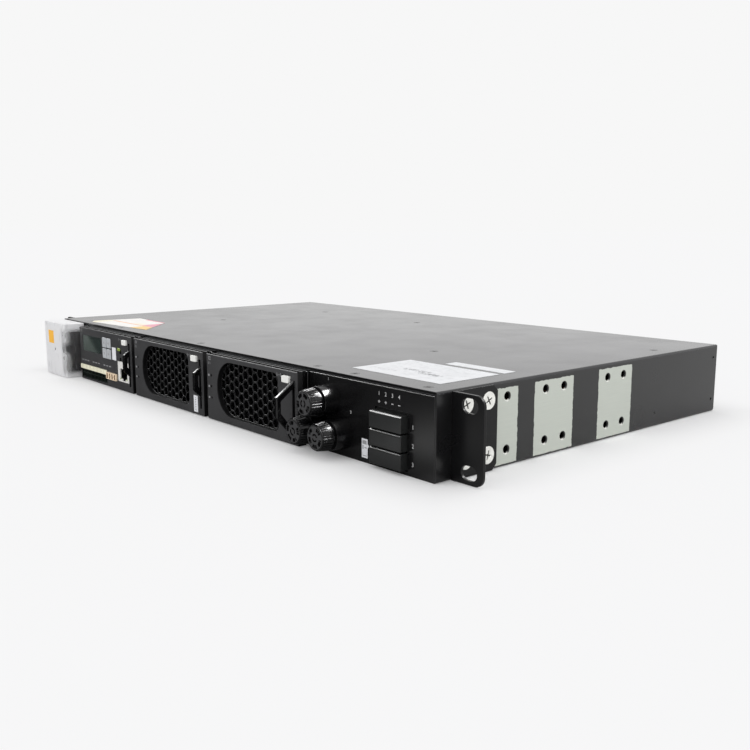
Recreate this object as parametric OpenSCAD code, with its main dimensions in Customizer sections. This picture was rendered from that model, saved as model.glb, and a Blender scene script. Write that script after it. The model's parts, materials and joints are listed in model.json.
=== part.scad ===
// One-unit rack shelf for DC power: a folded steel tray and lid with rack ears, a mains
// terminal bay behind a clear cover, a plug-in controller, two plug-in rectifiers, and an
// output panel with three fuse holders and three plug-in terminal blocks.
// Millimetres, +Z up, -Y towards the front. The origin is on the underside, on the centre
// line, in the plane where the rack ears meet the rails.

/* [Shelf] */
// Height of the shelf, one rack unit less its clearance
body_h = 43.6; // [43.2:0.1:44.4]
// Depth of the shelf behind its output panel
body_d = 255; // [248:1:300]
// Thickness of the sheet steel
sheet = 1.2; // [1:0.1:1.4]
// Outer radius of the folded edges
fold_r = 1.6; // [1.5:0.1:2]
// Distance from the output panel back to the rack rails
setback = 11.5; // [10:0.5:13.5]
// Rounding of the lid's side edges
lid_r = 1; // [0.5:0.1:1.1]
// Rounding of the front panels' top edges
edge_r = 0.9; // [0.5:0.1:1.1]
// Height of the lid's front lip
lip_h = 2; // [1.8:0.1:2.2]
// How far the lid's front lip sits behind the panels' faces
lip_in = 0.5; // [0.3:0.1:0.8]
// Depth of the lid's side flanges
flange_h = 4; // [3.5:0.1:4.4]
// Distance from the output panel back to the lid's side flanges
flange_front = 60; // [50:1:100]
// Distance from the lid's side flanges back to the rear edge
flange_back = 30; // [20:1:60]
// How far the rear panel sits inside the rear edge
rear_in = 1; // [0.5:0.1:2]
// Width of a vent slot in the rear panel
vent_w = 3; // [2.5:0.5:4]
// Height of a vent slot in the rear panel
vent_h = 12; // [8:1:13]
// Distance between neighbouring vent slots
vent_pitch = 12.5; // [8:0.5:16]
// Width left plain at each end of the rows of vent slots
vent_edge = 30; // [20:1:60]
// Slip between pieces that slide past each other
slip = 0.3; // [0.25:0.05:0.4]
// Gap between pieces that are screwed together edge to edge
fit = 0.1; // [0.05:0.05:0.2]

/* [Bays] */
// Width of the mains terminal bay
ac_w = 50.4; // [46:0.2:50.4]
// Width of the controller's front
ctrl_w = 91.6; // [91:0.2:92.4]
// Width of each rectifier's front
rect_w = 96; // [95:0.2:96.4]
// Gap between neighbouring fronts
front_gap = 5; // [4.6:0.1:5.2]
// Width from the last front to the shelf's right side
output_w = 98; // [92:1:110]
// Height of the fronts' lower edge above the underside
bezel_z = 0.5; // [0.4:0.1:0.8]
// Thickness of a front moulding
bezel_t = 5.7; // [5.4:0.1:6]
// How far the fronts stand forward of the output panel
bezel_proud = 8; // [7.8:0.1:8.4]
// Rounding of a front's outer edges
bezel_r = 0.8; // [0.5:0.1:1]
// Thickness of the dividing walls between bays
divider_t = 1.2; // [1:0.1:1.4]
// Depth of the doubled front edge of a dividing wall
hem_d = 6; // [4:1:10]

/* [Rack ears] */
// Width of an ear's flange beside the shelf
ear_w = 20.3; // [19:0.1:22]
// Thickness of an ear
ear_t = 1.6; // [1.4:0.1:2.4]
// Length of an ear's side leg behind its last screws
ear_margin = 6.3; // [6:0.1:10]
// Height of an ear's lower edge above the underside
ear_low = 0.3; // [0.2:0.1:0.8]
// Height of an ear's upper edge below the lid's top
ear_high = 0.6; // [0.4:0.1:0.8]
// Chamfer of the side leg's corners
ear_cut = 3; // [1:0.5:4]
// Distance from an ear's outer edge to its slots' centres
slot_in = 8.8; // [8:0.1:9]
// Distance from the underside, or from the lid's top, to a slot's centre
slot_z = 5.925; // [5.6:0.005:6.2]
// Height of a rack slot
slot_h = 7; // [6.4:0.2:7.4]
// Length of a rack slot
slot_l = 10; // [9.6:0.2:11]
// Rounding of an ear's outer corners
ear_r = 5; // [3:0.5:5]

/* [Side holes] */
// Radius of a tapped side hole
side_r = 2; // [1.7:0.1:2.2]
// Radius of a side hole's countersink
side_csk_r = 2.6; // [2.5:0.1:3]
// Distance from the output panel to the first column of side holes
side_y = 18.7; // [18:0.1:20]
// Distance between neighbouring columns
side_pitch = 15.3; // [15:0.1:16]
// Height of the lower row of side holes
side_z = 8.5; // [8:0.1:9]
// Distance from the lid's top to the upper row
side_top = 8; // [7.8:0.1:8.4]
// Depth of a side hole's countersink
side_csk = 0.4; // [0.3:0.05:0.6]
// Distance from the output panel to the second group of columns
group_2_y = 79.5; // [79:0.5:84]
// Distance from the output panel to the third group of columns
group_3_y = 134.3; // [130:0.5:140]
// Distance from the output panel to the rear cover screw
rear_screw = 184.3; // [175:0.5:190]
// Radius of a rivet end near the rear edge
rivet_r = 0.9; // [0.7:0.1:1.2]
// Distance from the rear edge to the rivets
rivet_in = 4.3; // [3.5:0.1:6]

/* [Fasteners] */
// Radius of an ear screw's head
ear_head_r = 4.5; // [4:0.1:4.8]
// Height of an ear screw's countersunk head
ear_head_t = 1.4; // [1.2:0.1:1.6]
// Radius of a small cover screw's head
cover_head_r = 2.6; // [2.3:0.1:2.8]
// Radius of a small cover screw's shank
cover_shank_r = 1.45; // [1.3:0.05:1.6]
// Height of a small cover screw's countersunk head
cover_head_t = 0.8; // [0.6:0.05:0.9]
// How far a screw's point reaches past the sheets that it joins
screw_past = 1.5; // [1:0.1:1.8]
// Gap all round a screw's shank in its hole
screw_gap = 0.05; // [0.03:0.01:0.1]

/* [Module boxes] */
// Length of a module's steel box
case_d = 196; // [180:1:200]
// Thickness of a module's steel box
case_t = 0.8; // [0.6:0.1:1]
// Thickness of the circuit boards
board_t = 1.6; // [1.2:0.2:2.4]
// Height of the posts under a circuit board
post_h = 3; // [2:0.5:4]
// Length of a rear plug behind its box
plug_d = 9; // [8:0.5:12]
// Width of a rear plug
plug_w = 46; // [40:1:50]
// Height of a rear plug
plug_h = 12; // [10:0.5:14]
// Length of a rear plug inside its box
plug_in = 14; // [10:1:20]
// Wall of a rear plug, and of the socket that takes it
plug_wall = 1.5; // [1.2:0.1:2]
// Radius of the posts under a circuit board
post_r = 2.4; // [2:0.1:3]
// Radius of a small mounting hole in a circuit board
board_hole_r = 1.6; // [1.2:0.1:2]
// Distance from a module's board edge to its mounting holes
board_in = 16; // [12:1:20]
// Distance between neighbouring slots in a box's rear wall
slit_pitch = 6.6; // [6:0.1:8]
// Width of a slot in a box's rear wall
slit_w = 3; // [2:0.5:4]

/* [Board parts] */
// Height of the tallest parts on a circuit board
part_h = 24; // [16:1:28]
// Gap between neighbouring parts on a circuit board
part_gap = 4; // [2:0.5:8]
// Width of a transformer
coil_w = 28; // [20:1:30]
// Radius of a capacitor
cap_can_r = 8; // [6:0.5:8]
// Distance between neighbouring capacitors
can_pitch = 17.5; // [16.5:0.5:20]
// Length of a heat sink
sink_l = 80; // [60:1:90]
// Thickness of a heat sink's base
sink_t = 3; // [2:0.5:4]
// Thickness of a heat sink's fin
fin_t = 1.5; // [1:0.1:2]
// Number of fins on a heat sink
fins = 6; // [4:1:8]
// Side of a square chip
chip_w = 20; // [10:1:24]

/* [Grille] */
// Distance from a rectifier's left edge to its grille
grille_x = 12; // [12:0.2:13]
// Distance from the grille to a rectifier's right edge
grille_edge = 18; // [17.6:0.2:20]
// Distance from a front's lower edge to the grille
grille_under = 4.5; // [4:0.1:5]
// Distance from the grille to a front's upper edge
grille_over = 2.9; // [2.6:0.1:4]
// Radius of an indicator's light hole
light_r = 0.9; // [0.7:0.1:1.1]
// Distance from a rectifier's left edge to its indicators
light_x = 5.4; // [5:0.1:6]
// Height of the lowest indicator
light_z = 14.4; // [13:0.1:15]
// Distance between neighbouring indicators
light_pitch = 6.95; // [6:0.05:7.5]
// Corner radius at the grille's left end
grille_rl = 16; // [12:0.5:16]
// Corner radius at the grille's right end
grille_rr = 4.5; // [3:0.5:6]
// Depth of the recess in front of the mesh
recess_d = 3.4; // [3:0.1:3.6]
// Distance between neighbouring mesh cells
cell_pitch = 5.9; // [5.6:0.1:6.4]
// Thickness of the ribs between mesh cells
cell_wall = 0.9; // [0.8:0.1:1.2]

/* [Fan] */
// Depth of a fan
fan_d = 20; // [15:1:28]
// Least wall between a fan's bore and its frame's sides
fan_wall = 1.2; // [1:0.1:2]
// Thickness of a fan's rear ribs
fan_rib_t = 2; // [1.5:0.1:3]
// Width of a fan's rear ribs
fan_rib_w = 4; // [3:0.5:5]
// Wall of the sleeve that a fan's shaft turns in
sleeve_t = 1.5; // [1:0.1:2]
// Distance from a module's front to its fan
fan_in = 8; // [7:0.5:12]
// Thickness of a fan blade
blade_t = 1.2; // [1:0.1:1.5]
// Gap between blade tips and bore
tip_gap = 0.6; // [0.5:0.1:1]
// Radius of a fan's hub
hub_r = 9; // [8:0.5:10]
// Radius of a fan's shaft
shaft_r = 1.5; // [1.2:0.1:2]
// Running clearance round a shaft
run_gap = 0.05; // [0.03:0.01:0.08]
// Number of fan blades
blades = 7; // [5:1:7]
// Pitch angle of a fan blade
blade_pitch = 38; // [32:1:42]

/* [Handles and latches] */
// Thickness of a loop handle
loop_t = 2.3; // [2:0.1:2.4]
// Width of the band that a loop handle is made of
loop_band = 3; // [2.6:0.1:3.2]
// Height of a loop handle's arms where they enter the front
loop_arm = 3.9; // [3.4:0.1:4.2]
// How far a loop handle's grip opening stays inside its corners
loop_corner = 2.15; // [1.8:0.05:2.3]
// How far a closed loop handle stands forward
loop_proud = 4.8; // [4.5:0.1:5.2]
// Lower end of a loop handle's grip
loop_z0 = 17.5; // [17:0.1:18]
// Distance from a front's upper edge to the upper end of a loop handle's grip
loop_drop = 13.1; // [12.8:0.1:13.6]
// How much a loop handle's upper arm rises over its length
rise = 0.7; // [0.6:0.05:0.75]
// How much a loop handle's lower arm falls over its length
fall = 1.1; // [0.8:0.05:1.15]
// How far a loop handle's inner hooks reach past its slot
loop_stop = 1.2; // [1:0.1:1.5]
// Gap all round a handle or a latch in its slot
slot_gap = 0.2; // [0.15:0.05:0.3]
// Travel of a loop handle
loop_pull = 7; // [6:0.1:7]
// Distance from a front's right edge to the handle slot
slot_edge = 2.2; // [2.2:0.1:2.3]
// Width of a latch button
latch_w = 6.8; // [6.4:0.1:7.4]
// Height of a latch button
latch_h = 3.8; // [3.6:0.1:4.2]
// Distance from a front's upper edge to a latch's centre
latch_top = 4.9; // [4.5:0.1:5.2]
// Distance from a front's right edge to the latch's centre
latch_edge = 9.6; // [9.4:0.1:10]
// Depth of a latch's pocket
latch_in = 1.6; // [1.5:0.1:2]
// Width of a latch's stem
latch_stem = 4.5; // [4:0.5:5.5]
// How far a latch button stands forward
latch_proud = 1.3; // [1:0.1:1.5]
// Travel of a latch
latch_travel = 2; // [1.5:0.1:2.2]

/* [Controller front] */
// Distance from the controller's left edge to the display
lcd_x = 5.8; // [5.6:0.2:7]
// Gap between the display window and the keys
lcd_gap = 3.6; // [3:0.1:5]
// Distance from the display window to the front's upper edge
lcd_top = 5.7; // [5:0.1:6.5]
// Width of the frame hidden behind the display window
lcd_rim = 2; // [1.6:0.1:2.4]
// Lower edge of the display window
lcd_z = 23.4; // [23:0.2:24]
// Width of a key
key_w = 6.8; // [6.4:0.1:7]
// Gap between neighbouring keys
key_gap = 0.7; // [0.6:0.1:0.8]
// Lower edge of the keys
key_z = 21.6; // [21.4:0.1:22]
// Distance from the keys to the front's upper edge
key_top = 4.3; // [4:0.1:5]
// Gap all round a key in its opening
key_slip = 0.25; // [0.2:0.05:0.3]
// How far a key stands forward
key_proud = 0.9; // [0.7:0.1:1.1]
// Travel of a key
key_travel = 0.6; // [0.4:0.1:0.7]
// Distance from the controller's left edge to the signal strip
signal_in = 0.9; // [0.9:0.1:2]
// Height of the signal strip
signal_h = 3.4; // [3:0.1:3.6]
// Height of the terminal blocks' centre line
ports_z = 9; // [8.8:0.1:9.4]
// Height of the relay terminal block
relay_h = 5; // [4.6:0.1:5.4]
// Width of the relay terminal block
relay_w = 17.4; // [16:0.2:17.6]
// Width of the network jack
jack_w = 19; // [17.5:0.1:19]
// Height of the network jack
jack_h = 15; // [14:0.1:15]
// Lower edge of the network jack
jack_z = 6.9; // [6.6:0.1:7.2]
// Distance from the network jack to the controller's right edge
jack_edge = 5.4; // [5.4:0.1:6]
// Width of the network jack's opening
jack_open_w = 11.6; // [11.6:0.1:12]
// Height of the network jack's opening
jack_open_h = 7.4; // [7:0.1:7.8]
// Side of a small service port
port_w = 3; // [2.6:0.1:3.2]

/* [Output panel] */
// Distance from the panel's left edge to the lower left fuse
fuse_x = 8.6; // [8.6:0.1:9.5]
// Height of the lower fuses
fuse_z = 12.2; // [12:0.1:13]
// Distance between neighbouring fuses
fuse_pitch = 19.2; // [18:0.1:19.4]
// Radius of a fuse cap at its back
cap_r = 7.9; // [7.6:0.1:8]
// How much narrower a fuse cap is at its front
cap_taper = 0.9; // [0.6:0.1:1.2]
// How far a fuse cap stands forward
cap_proud = 18; // [16:0.5:20]
// Length of a fuse cap's ribbed part
cap_l = 6.8; // [6:0.1:8]
// Width of the groove behind a fuse cap
groove_l = 1.8; // [1.4:0.1:2]
// Radius of a fuse cap's stem
stem_r = 4.6; // [4:0.1:5]
// Length of a fuse cap's stem
stem_l = 26; // [24:1:27]
// Length of a fuse base behind the panel
barrel_l = 30; // [29:1:34]
// Thickness of a fuse base's nut
nut_t = 4; // [3:0.5:5]
// Width of a fuse base's rear contact
tail_w = 6; // [5:0.5:7]
// Thickness of a fuse base's rear contact
tail_t = 1.2; // [1:0.1:1.5]
// Distance from the output panel back to the end of a fuse base's contact
tail_y = 44; // [40:1:48]
// Number of ribs round a fuse cap
ribs = 36; // [24:4:48]
// Width of a terminal plug
term_w = 23.2; // [22.8:0.1:23.6]
// Distance between terminal plugs
term_pitch = 9.15; // [9:0.05:9.3]
// Height of a terminal plug
term_h = 8.5; // [8.2:0.1:8.6]
// Lower edge of the lowest terminal plug
term_z = 2.6; // [2.4:0.1:3]
// Distance from the shelf's side to the terminal plugs
term_edge = 19.6; // [18:0.1:24]
// How far a terminal plug stands forward
term_proud = 4.5; // [4:0.1:5]
// Wall of the terminal header
header_wall = 1; // [0.9:0.1:1.2]
// Depth of the terminal header
header_d = 20; // [16:1:24]
// How far a terminal plug reaches behind the output panel
term_in = 12; // [10:0.5:14]
// Distance between neighbouring contacts in a terminal plug
contact_pitch = 5.08; // [5:0.04:5.08]
// Chamfer along a terminal plug's upper front edge
term_cut = 0.9; // [0.6:0.1:1.2]
// Thickness of the copper bars
bar_t = 3; // [2:0.5:4]
// Height of the copper bars
bar_h = 20; // [14:1:22]

/* [Mains bay] */
// How far the clear cover stands forward
cover_proud = 18; // [16:0.5:22]
// Thickness of the clear cover
cover_t = 1.5; // [1.2:0.1:2]
// Height of the mains terminal block
block_h = 30; // [26:1:32]
// How far the mains terminal block stands forward
block_proud = 9; // [7:0.5:11]
// Distance from the shelf's left side to the clear cover
cover_in = 3; // [2.5:0.1:5]
// Distance from the clear cover to the controller
cover_side = 6.4; // [1:0.2:8]
// Height of the clear cover's lower edge
cover_low = 0.8; // [0.6:0.1:1.2]
// Height of the clear cover's upper edge below the lid's top
cover_high = 0.4; // [0.4:0.1:1]
// Height of the wire opening in the cover's left wall
wire_h = 18; // [12:1:22]
// Depth of the wire opening in the cover's left wall
wire_d = 8; // [6:0.5:9]
// Gap between the mains terminal block and the clear cover's sides
block_gap = 0.3; // [0.2:0.1:0.8]
// Radius of a mains terminal's screw head
pole_r = 3; // [2.5:0.1:3.5]
// Wall between neighbouring mains terminals
rib_t = 1; // [0.8:0.1:1.4]
// Number of mains terminals
poles = 3; // [2:1:4]

/* [Hidden] */
$fn = 48;
eps = 0.01;

paint = "#232427";
plastic = "#2b2c2f";
zinc = "#c9ccc8";
steel = "#9a9d9f";
copper = "#b87845";
green = "#2f5d3a";
pale = "#e6e6e2";

// Depth: the output panel's front face, the fronts' faces and the pieces behind them
panel_y = -setback;
face_y = panel_y - bezel_proud;
case_y0 = face_y + bezel_t;
case_y1 = case_y0 + case_d;
rear_y = panel_y + body_d;
back_plane_y = case_y1 + plug_d;

// Height: the tray's floor, the module boxes and the fronts
lid_z = body_h - sheet;
lip_z = body_h - lip_h;
case_z0 = sheet + slip;
case_z1 = lip_z - slip;
bezel_top = lip_z - fit;
mid_z = (case_z0 + case_z1) / 2;
board_z = case_z0 + case_t + post_h;

// Width: the shelf, each front's left edge and the output panel's left edge
body_w = ac_w + ctrl_w + 2 * rect_w + 2 * front_gap + output_w;
side_x = body_w / 2;
ctrl_x = -side_x + ac_w;
rect_x = [ctrl_x + ctrl_w + front_gap, ctrl_x + ctrl_w + rect_w + 2 * front_gap];
hem_t = 2 * divider_t;
case_right = hem_t - 0.4;
divider_x = [
  ctrl_x - hem_t - slip,
  ctrl_x + ctrl_w - case_right,
  rect_x[0] + rect_w - case_right,
  rect_x[1] + rect_w - case_right
];
dc_x = divider_x[3] + hem_t + slip;
case_left = 1;

// Side holes: every column's distance behind the output panel
columns = [
  side_y, side_y + side_pitch, side_y + 2 * side_pitch,
  group_2_y, group_2_y + side_pitch,
  group_3_y, group_3_y + side_pitch
];
ear_columns = 2;
ear_shank_r = side_r - 2 * screw_gap;
rows = [side_z, body_h - side_top];
ear_leg = columns[ear_columns - 1] - setback + ear_t + ear_margin;

// Cover screws: distance from the right side and from the output panel
lid_screws = [[97.6, 5.6], [65, 5.2], [12.3, 6.7], [97.4, 94.4], [224, 5.6], [344, 5.6],
  [344, 94.4], [12.3, 200], [224, 200], [344, 200]];

// Lid label and stickers: distances from the lid's sides and from the output panel
film_t = 0.15;
label_side = 14.1;
label_w = 66.5;
label_y = [16.2, 59];
strip_w = 43;
strip_y = [63, 72];
sticker_points = [[36.6, 11], [42.5, 6], [123.5, 13.2], [89.3, 45.8], [43.5, 47]];

// Fuse centres and terminal plugs
fuse_rise = fuse_pitch * 0.85;
fuses = [
  [dc_x + fuse_x + fuse_pitch / 2, fuse_z + fuse_rise],
  [dc_x + fuse_x, fuse_z],
  [dc_x + fuse_x + fuse_pitch, fuse_z]
];
collar_r = cap_r + 0.7;
barrel_r = cap_r - 1;
nut_r = barrel_r + 1.2;
fuse_tail_y = panel_y + tail_y;
term_x = side_x - term_edge - term_w;
header_side = 2 * header_wall;
header_top = term_z + 3 * term_pitch + header_wall;

// Loop handles: distance back from the front's face to the bend and to the crossbar
loop_z1 = bezel_top - loop_drop;
loop_in = bezel_t + loop_pull + slip;
loop_bend = loop_pull - 0.5;
loop_top = loop_z1 + rise * (loop_proud + loop_bend);
loop_bottom = loop_z0 - fall * (loop_proud + loop_bend);
open_pull = [0, loop_pull];
latch_z = bezel_top - latch_top;
latch_tail = 2;

// Grille: a D-shaped field whose corners are limited by its height
grille_w = rect_w - grille_x - grille_edge;
grille_z = bezel_z + grille_under;
grille_h = bezel_top - grille_over - grille_z;
grille_left_r = min(grille_rl, grille_h / 2 - 0.1);

// Fan: a square frame as tall as the inside of its box
fan_s = case_z1 - case_z0 - 2 * case_t - 2 * fit;
fan_bore_r = fan_s / 2 - fan_wall;
fan_y = case_y0 + fan_in;
fan_x = grille_x + grille_w / 2;

// ---- shared shapes ----

module span(lo, hi) {
  translate(lo) cube(hi - lo);
}

// Stands an outline of X and Z up between two depths
module along_y(y0, y1) {
  translate([0, y1, 0]) rotate([90, 0, 0]) linear_extrude(y1 - y0) children();
}

// Lays an outline of Y and Z across between two widths
module along_x(x0, x1) {
  translate([x0, 0, 0]) rotate([90, 0, 90]) linear_extrude(x1 - x0) children();
}

// Lifts an outline of X and Y between two heights
module along_z(z0, z1) {
  translate([0, 0, z0]) linear_extrude(z1 - z0) children();
}

// A round bar along Y, from r0 at y0 to r1 at y1
module rod_y(x, z, y0, y1, r0, r1) {
  translate([x, y0, z]) rotate([-90, 0, 0]) cylinder(h = y1 - y0, r1 = r0, r2 = r1);
}

// Rectangle with its left corners rounded by rl and its right corners by rr
module round_rect(x, z, w, h, rl, rr) {
  translate([x, z]) {
    polygon([
      [rl, 0], [w - rr, 0], [w, rr], [w, h - rr],
      [w - rr, h], [rl, h], [0, h - rl], [0, rl]
    ]);
    for (cz = [0, 1]) {
      translate([rl, cz ? h - rl : rl]) circle(rl);
      translate([w - rr, cz ? h - rr : rr]) circle(rr);
    }
  }
}

// Countersunk screw along +Z, its head's top at z = 0, with a cross recess
module screw(head_r, head_t, shank_r, length) {
  difference() {
    union() {
      translate([0, 0, -head_t]) cylinder(h = head_t, r1 = shank_r, r2 = head_r);
      translate([0, 0, -length]) cylinder(h = length - head_t + eps, r = shank_r);
    }
    for (a = [0, 90])
      rotate([0, 0, a]) cube([head_r * 1.1, head_r * 0.26, head_t * 1.1], center = true);
  }
}

// Hole for such a screw
module screw_hole(head_r, head_t, shank_r, depth) {
  translate([0, 0, -head_t]) cylinder(h = head_t, r1 = shank_r + screw_gap, r2 = head_r + screw_gap);
  translate([0, 0, -depth]) cylinder(h = depth, r = shank_r + screw_gap);
  cylinder(h = 1, r = head_r + screw_gap);
}

// ---- shelf ----

module side_holes(sgn) {
  for (c = columns, z = rows)
    translate([sgn * side_x, panel_y + c, z]) rotate([0, sgn * 90, 0]) {
      translate([0, 0, -sheet - 1]) cylinder(h = sheet + 2, r = side_r);
      translate([0, 0, -side_csk]) cylinder(h = side_csk + eps, r1 = side_r, r2 = side_csk_r);
    }
}

module tray() {
  color(paint) difference() {
    along_y(panel_y, rear_y) difference() {
      union() {
        polygon([
          [-side_x + fold_r, 0], [side_x - fold_r, 0], [side_x, fold_r],
          [side_x, lid_z], [-side_x, lid_z], [-side_x, fold_r]
        ]);
        for (s = [-1, 1]) translate([s * (side_x - fold_r), fold_r]) circle(fold_r);
      }
      translate([-side_x + sheet, sheet]) square([body_w - 2 * sheet, body_h]);
    }
    span([-side_x + sheet, panel_y - 1, -1], [side_x - sheet, panel_y + sheet, sheet + 1]);
    for (s = [-1, 1]) {
      side_holes(s);
      translate([s * side_x, panel_y + rear_screw, side_z]) rotate([0, s * 90, 0])
        screw_hole(cover_head_r, cover_head_t, cover_shank_r, 2 * sheet);
      for (z = rows)
        translate([s * side_x, rear_y - rivet_in, z]) rotate([0, 90, 0])
          cylinder(h = sheet, r = rivet_r, center = true);
    }
  }
}

module lid() {
  color(paint) difference() {
    union() {
      along_y(panel_y, rear_y) {
        polygon([
          [-side_x, lid_z], [side_x, lid_z], [side_x, body_h - lid_r],
          [side_x - lid_r, body_h], [-side_x + lid_r, body_h], [-side_x, body_h - lid_r]
        ]);
        for (s = [-1, 1]) translate([s * (side_x - lid_r), body_h - lid_r]) intersection() {
          circle(lid_r);
          square(2 * lid_r);
        }
      }
      span([-side_x + sheet + fit, panel_y + lip_in, lip_z],
        [side_x - sheet - fit, panel_y + lip_in + sheet, lid_z + eps]);
      for (s = [-1, 1])
        translate([s * (side_x - 1.5 * sheet - slip) - sheet / 2, panel_y + flange_front, lid_z - flange_h])
          cube([sheet, body_d - flange_front - flange_back, flange_h + eps]);
    }
    for (p = lid_screws)
      translate([side_x - p[0], panel_y + p[1], body_h])
        screw_hole(cover_head_r, cover_head_t, cover_shank_r, 2 * sheet);
    for (s = [-1, 1])
      translate([s * side_x, panel_y + rear_screw, side_z]) rotate([0, s * 90, 0])
        screw_hole(cover_head_r, cover_head_t, cover_shank_r, 3 * sheet);
  }
}

module rear_panel() {
  x0 = -side_x + sheet + slip;
  y1 = rear_y - rear_in;
  vents = floor((body_w - 2 * vent_edge) / vent_pitch);
  color(paint) difference() {
    union() {
      span([x0, y1 - sheet, sheet], [-x0, y1, lid_z]);
      for (s = [-1, 1])
        translate([s * (-x0 - sheet / 2) - sheet / 2, y1 - flange_back / 2, sheet])
          cube([sheet, flange_back / 2 - sheet + eps, lid_z - sheet - flange_h - slip]);
    }
    for (i = [0:vents - 1], z = [mid_z - vent_h - vent_w / 2, mid_z + vent_w / 2])
      translate([(i - (vents - 1) / 2) * vent_pitch - vent_w / 2, y1 - 2 * sheet, z])
        cube([vent_w, 3 * sheet, vent_h]);
  }
}

// Upright front panel whose top edge is rounded
module front_panel(x0, x1) {
  along_x(x0, x1) {
    translate([panel_y + edge_r, 0]) square([sheet - edge_r, lip_z]);
    translate([panel_y, 0]) square([sheet, lip_z - edge_r]);
    translate([panel_y + edge_r, lip_z - edge_r]) intersection() {
      circle(edge_r);
      translate([-edge_r, 0]) square(edge_r + eps);
    }
  }
}

module ac_panel() {
  color(paint) difference() {
    front_panel(-side_x + sheet + fit, divider_x[0] - slip);
    for (i = [0:poles - 1])
      rod_y(pole_x(i), mid_z, panel_y - 1, panel_y + sheet + 1, side_r, side_r);
  }
}

module dc_panel() {
  color(paint) difference() {
    union() {
      front_panel(dc_x, side_x - sheet - fit);
      span([side_x - 2 * sheet - slip, panel_y + sheet - eps, sheet + slip],
        [side_x - sheet - slip, panel_y + 2 * hem_d, lip_z - slip]);
    }
    for (f = fuses)
      rod_y(f[0], f[1], panel_y - 1, panel_y + sheet + 1, barrel_r + slip, barrel_r + slip);
    span([term_x - 2 * slip, panel_y - 1, term_z - 2 * slip],
      [term_x + term_w + 2 * slip, panel_y + sheet + 1, header_top - slip]);
  }
}

module bay_dividers() {
  color(paint) for (x = divider_x) {
    span([x + divider_t, panel_y + lip_in + sheet + slip, sheet], [x + hem_t, case_y1, lid_z]);
    span([x, panel_y - sheet, sheet], [x + hem_t, panel_y + hem_d - sheet, lip_z - slip]);
  }
}

// Right-hand ear: a folded plate with two rack slots in its flange
module ear() {
  z0 = ear_low;
  z1 = body_h - ear_high;
  leg_y = ear_leg - ear_t;
  difference() {
    union() {
      along_y(-ear_t, 0) round_rect(side_x, z0, ear_w, z1 - z0, eps, ear_r);
      along_x(side_x, side_x + ear_t) polygon([
        [-ear_t, z0], [leg_y - ear_cut, z0], [leg_y, z0 + ear_cut],
        [leg_y, z1 - ear_cut], [leg_y - ear_cut, z1], [-ear_t, z1]
      ]);
    }
    for (z = [slot_z, body_h - slot_z])
      along_y(-ear_t - 1, 1) translate([side_x + ear_w - slot_in, z]) {
        square([slot_l - slot_h, slot_h], center = true);
        for (e = [-1, 1]) translate([e * (slot_l - slot_h) / 2, 0]) circle(slot_h / 2);
      }
    for (c = [0:ear_columns - 1], z = rows)
      translate([side_x + ear_t, panel_y + columns[c], z]) rotate([0, 90, 0])
        screw_hole(ear_head_r, ear_head_t, ear_shank_r, 2 * ear_t);
  }
}

module ear_right() {
  color(paint) ear();
}

module ear_left() {
  color(paint) mirror([1, 0, 0]) ear();
}

module ear_screws() {
  color(zinc) for (s = [-1, 1], c = [0:ear_columns - 1], z = rows)
    translate([s * (side_x + ear_t), panel_y + columns[c], z]) rotate([0, s * 90, 0])
      screw(ear_head_r, ear_head_t, ear_shank_r, ear_t + sheet + screw_past);
}

module cover_screws() {
  color("#3a3b3d") {
    for (p = lid_screws)
      translate([side_x - p[0], panel_y + p[1], body_h])
        screw(cover_head_r, cover_head_t, cover_shank_r, sheet);
    for (s = [-1, 1])
      translate([s * side_x, panel_y + rear_screw, side_z]) rotate([0, s * 90, 0])
        screw(cover_head_r, cover_head_t, cover_shank_r, sheet + screw_past);
  }
}

module lid_label() {
  x1 = side_x - label_side;
  color(pale) {
    span([x1 - label_w, panel_y + label_y[0], body_h], [x1, panel_y + label_y[1], body_h + film_t]);
    span([x1 - strip_w, panel_y + strip_y[0], body_h], [x1, panel_y + strip_y[1], body_h + film_t]);
  }
}

module lid_stickers() {
  color("#f4e6cf") along_z(body_h, body_h + film_t)
    polygon([for (p = sticker_points) [-side_x + p[0], panel_y + p[1]]]);
}

// ---- inside the shelf ----

module backplane_board() {
  x1 = side_x - 10 * sheet;
  color(green) difference() {
    span([ctrl_x, back_plane_y, sheet], [x1, back_plane_y + board_t, lid_z - flange_h]);
    for (x = [rect_x[0] - front_gap / 2, rect_x[1] - front_gap / 2, dc_x + board_in])
      rod_y(x, case_z1 - flange_h - 2 * board_hole_r, back_plane_y - 1, back_plane_y + board_t + 1,
        board_hole_r, board_hole_r);
  }
}

function plug_x(x0, w) = x0 + case_left + (w - case_left - case_right) / 2 - plug_w / 2;
plug_z = board_z + board_t;

module socket(x) {
  out = plug_wall + slip;
  difference() {
    span([x - out, case_y1 + slip, plug_z - out], [x + plug_w + out, back_plane_y, plug_z + plug_h + out]);
    span([x - slip, case_y1, plug_z - slip],
      [x + plug_w + slip, back_plane_y - plug_wall, plug_z + plug_h + slip]);
  }
}

module backplane_sockets() {
  color(plastic) {
    socket(plug_x(ctrl_x, ctrl_w));
    for (x = rect_x) socket(plug_x(x, rect_w));
  }
}

module positive_bar() {
  bar_x = fuses[2][0] + tail_w / 2;
  z0 = fuse_z - tail_w / 2;
  color(copper) {
    span([bar_x, fuse_tail_y, z0], [bar_x + bar_t, back_plane_y, z0 + bar_h]);
    span([fuses[1][0] - tail_w / 2, fuse_tail_y, z0], [bar_x + eps, fuse_tail_y + bar_t, z0 + bar_h]);
  }
}

module negative_bar() {
  bar_x = term_x + term_w / 2;
  z0 = term_z + term_h / 2;
  color(copper)
    span([bar_x, panel_y + sheet + header_d, z0], [bar_x + bar_t, back_plane_y, z0 + bar_h]);
}

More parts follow.
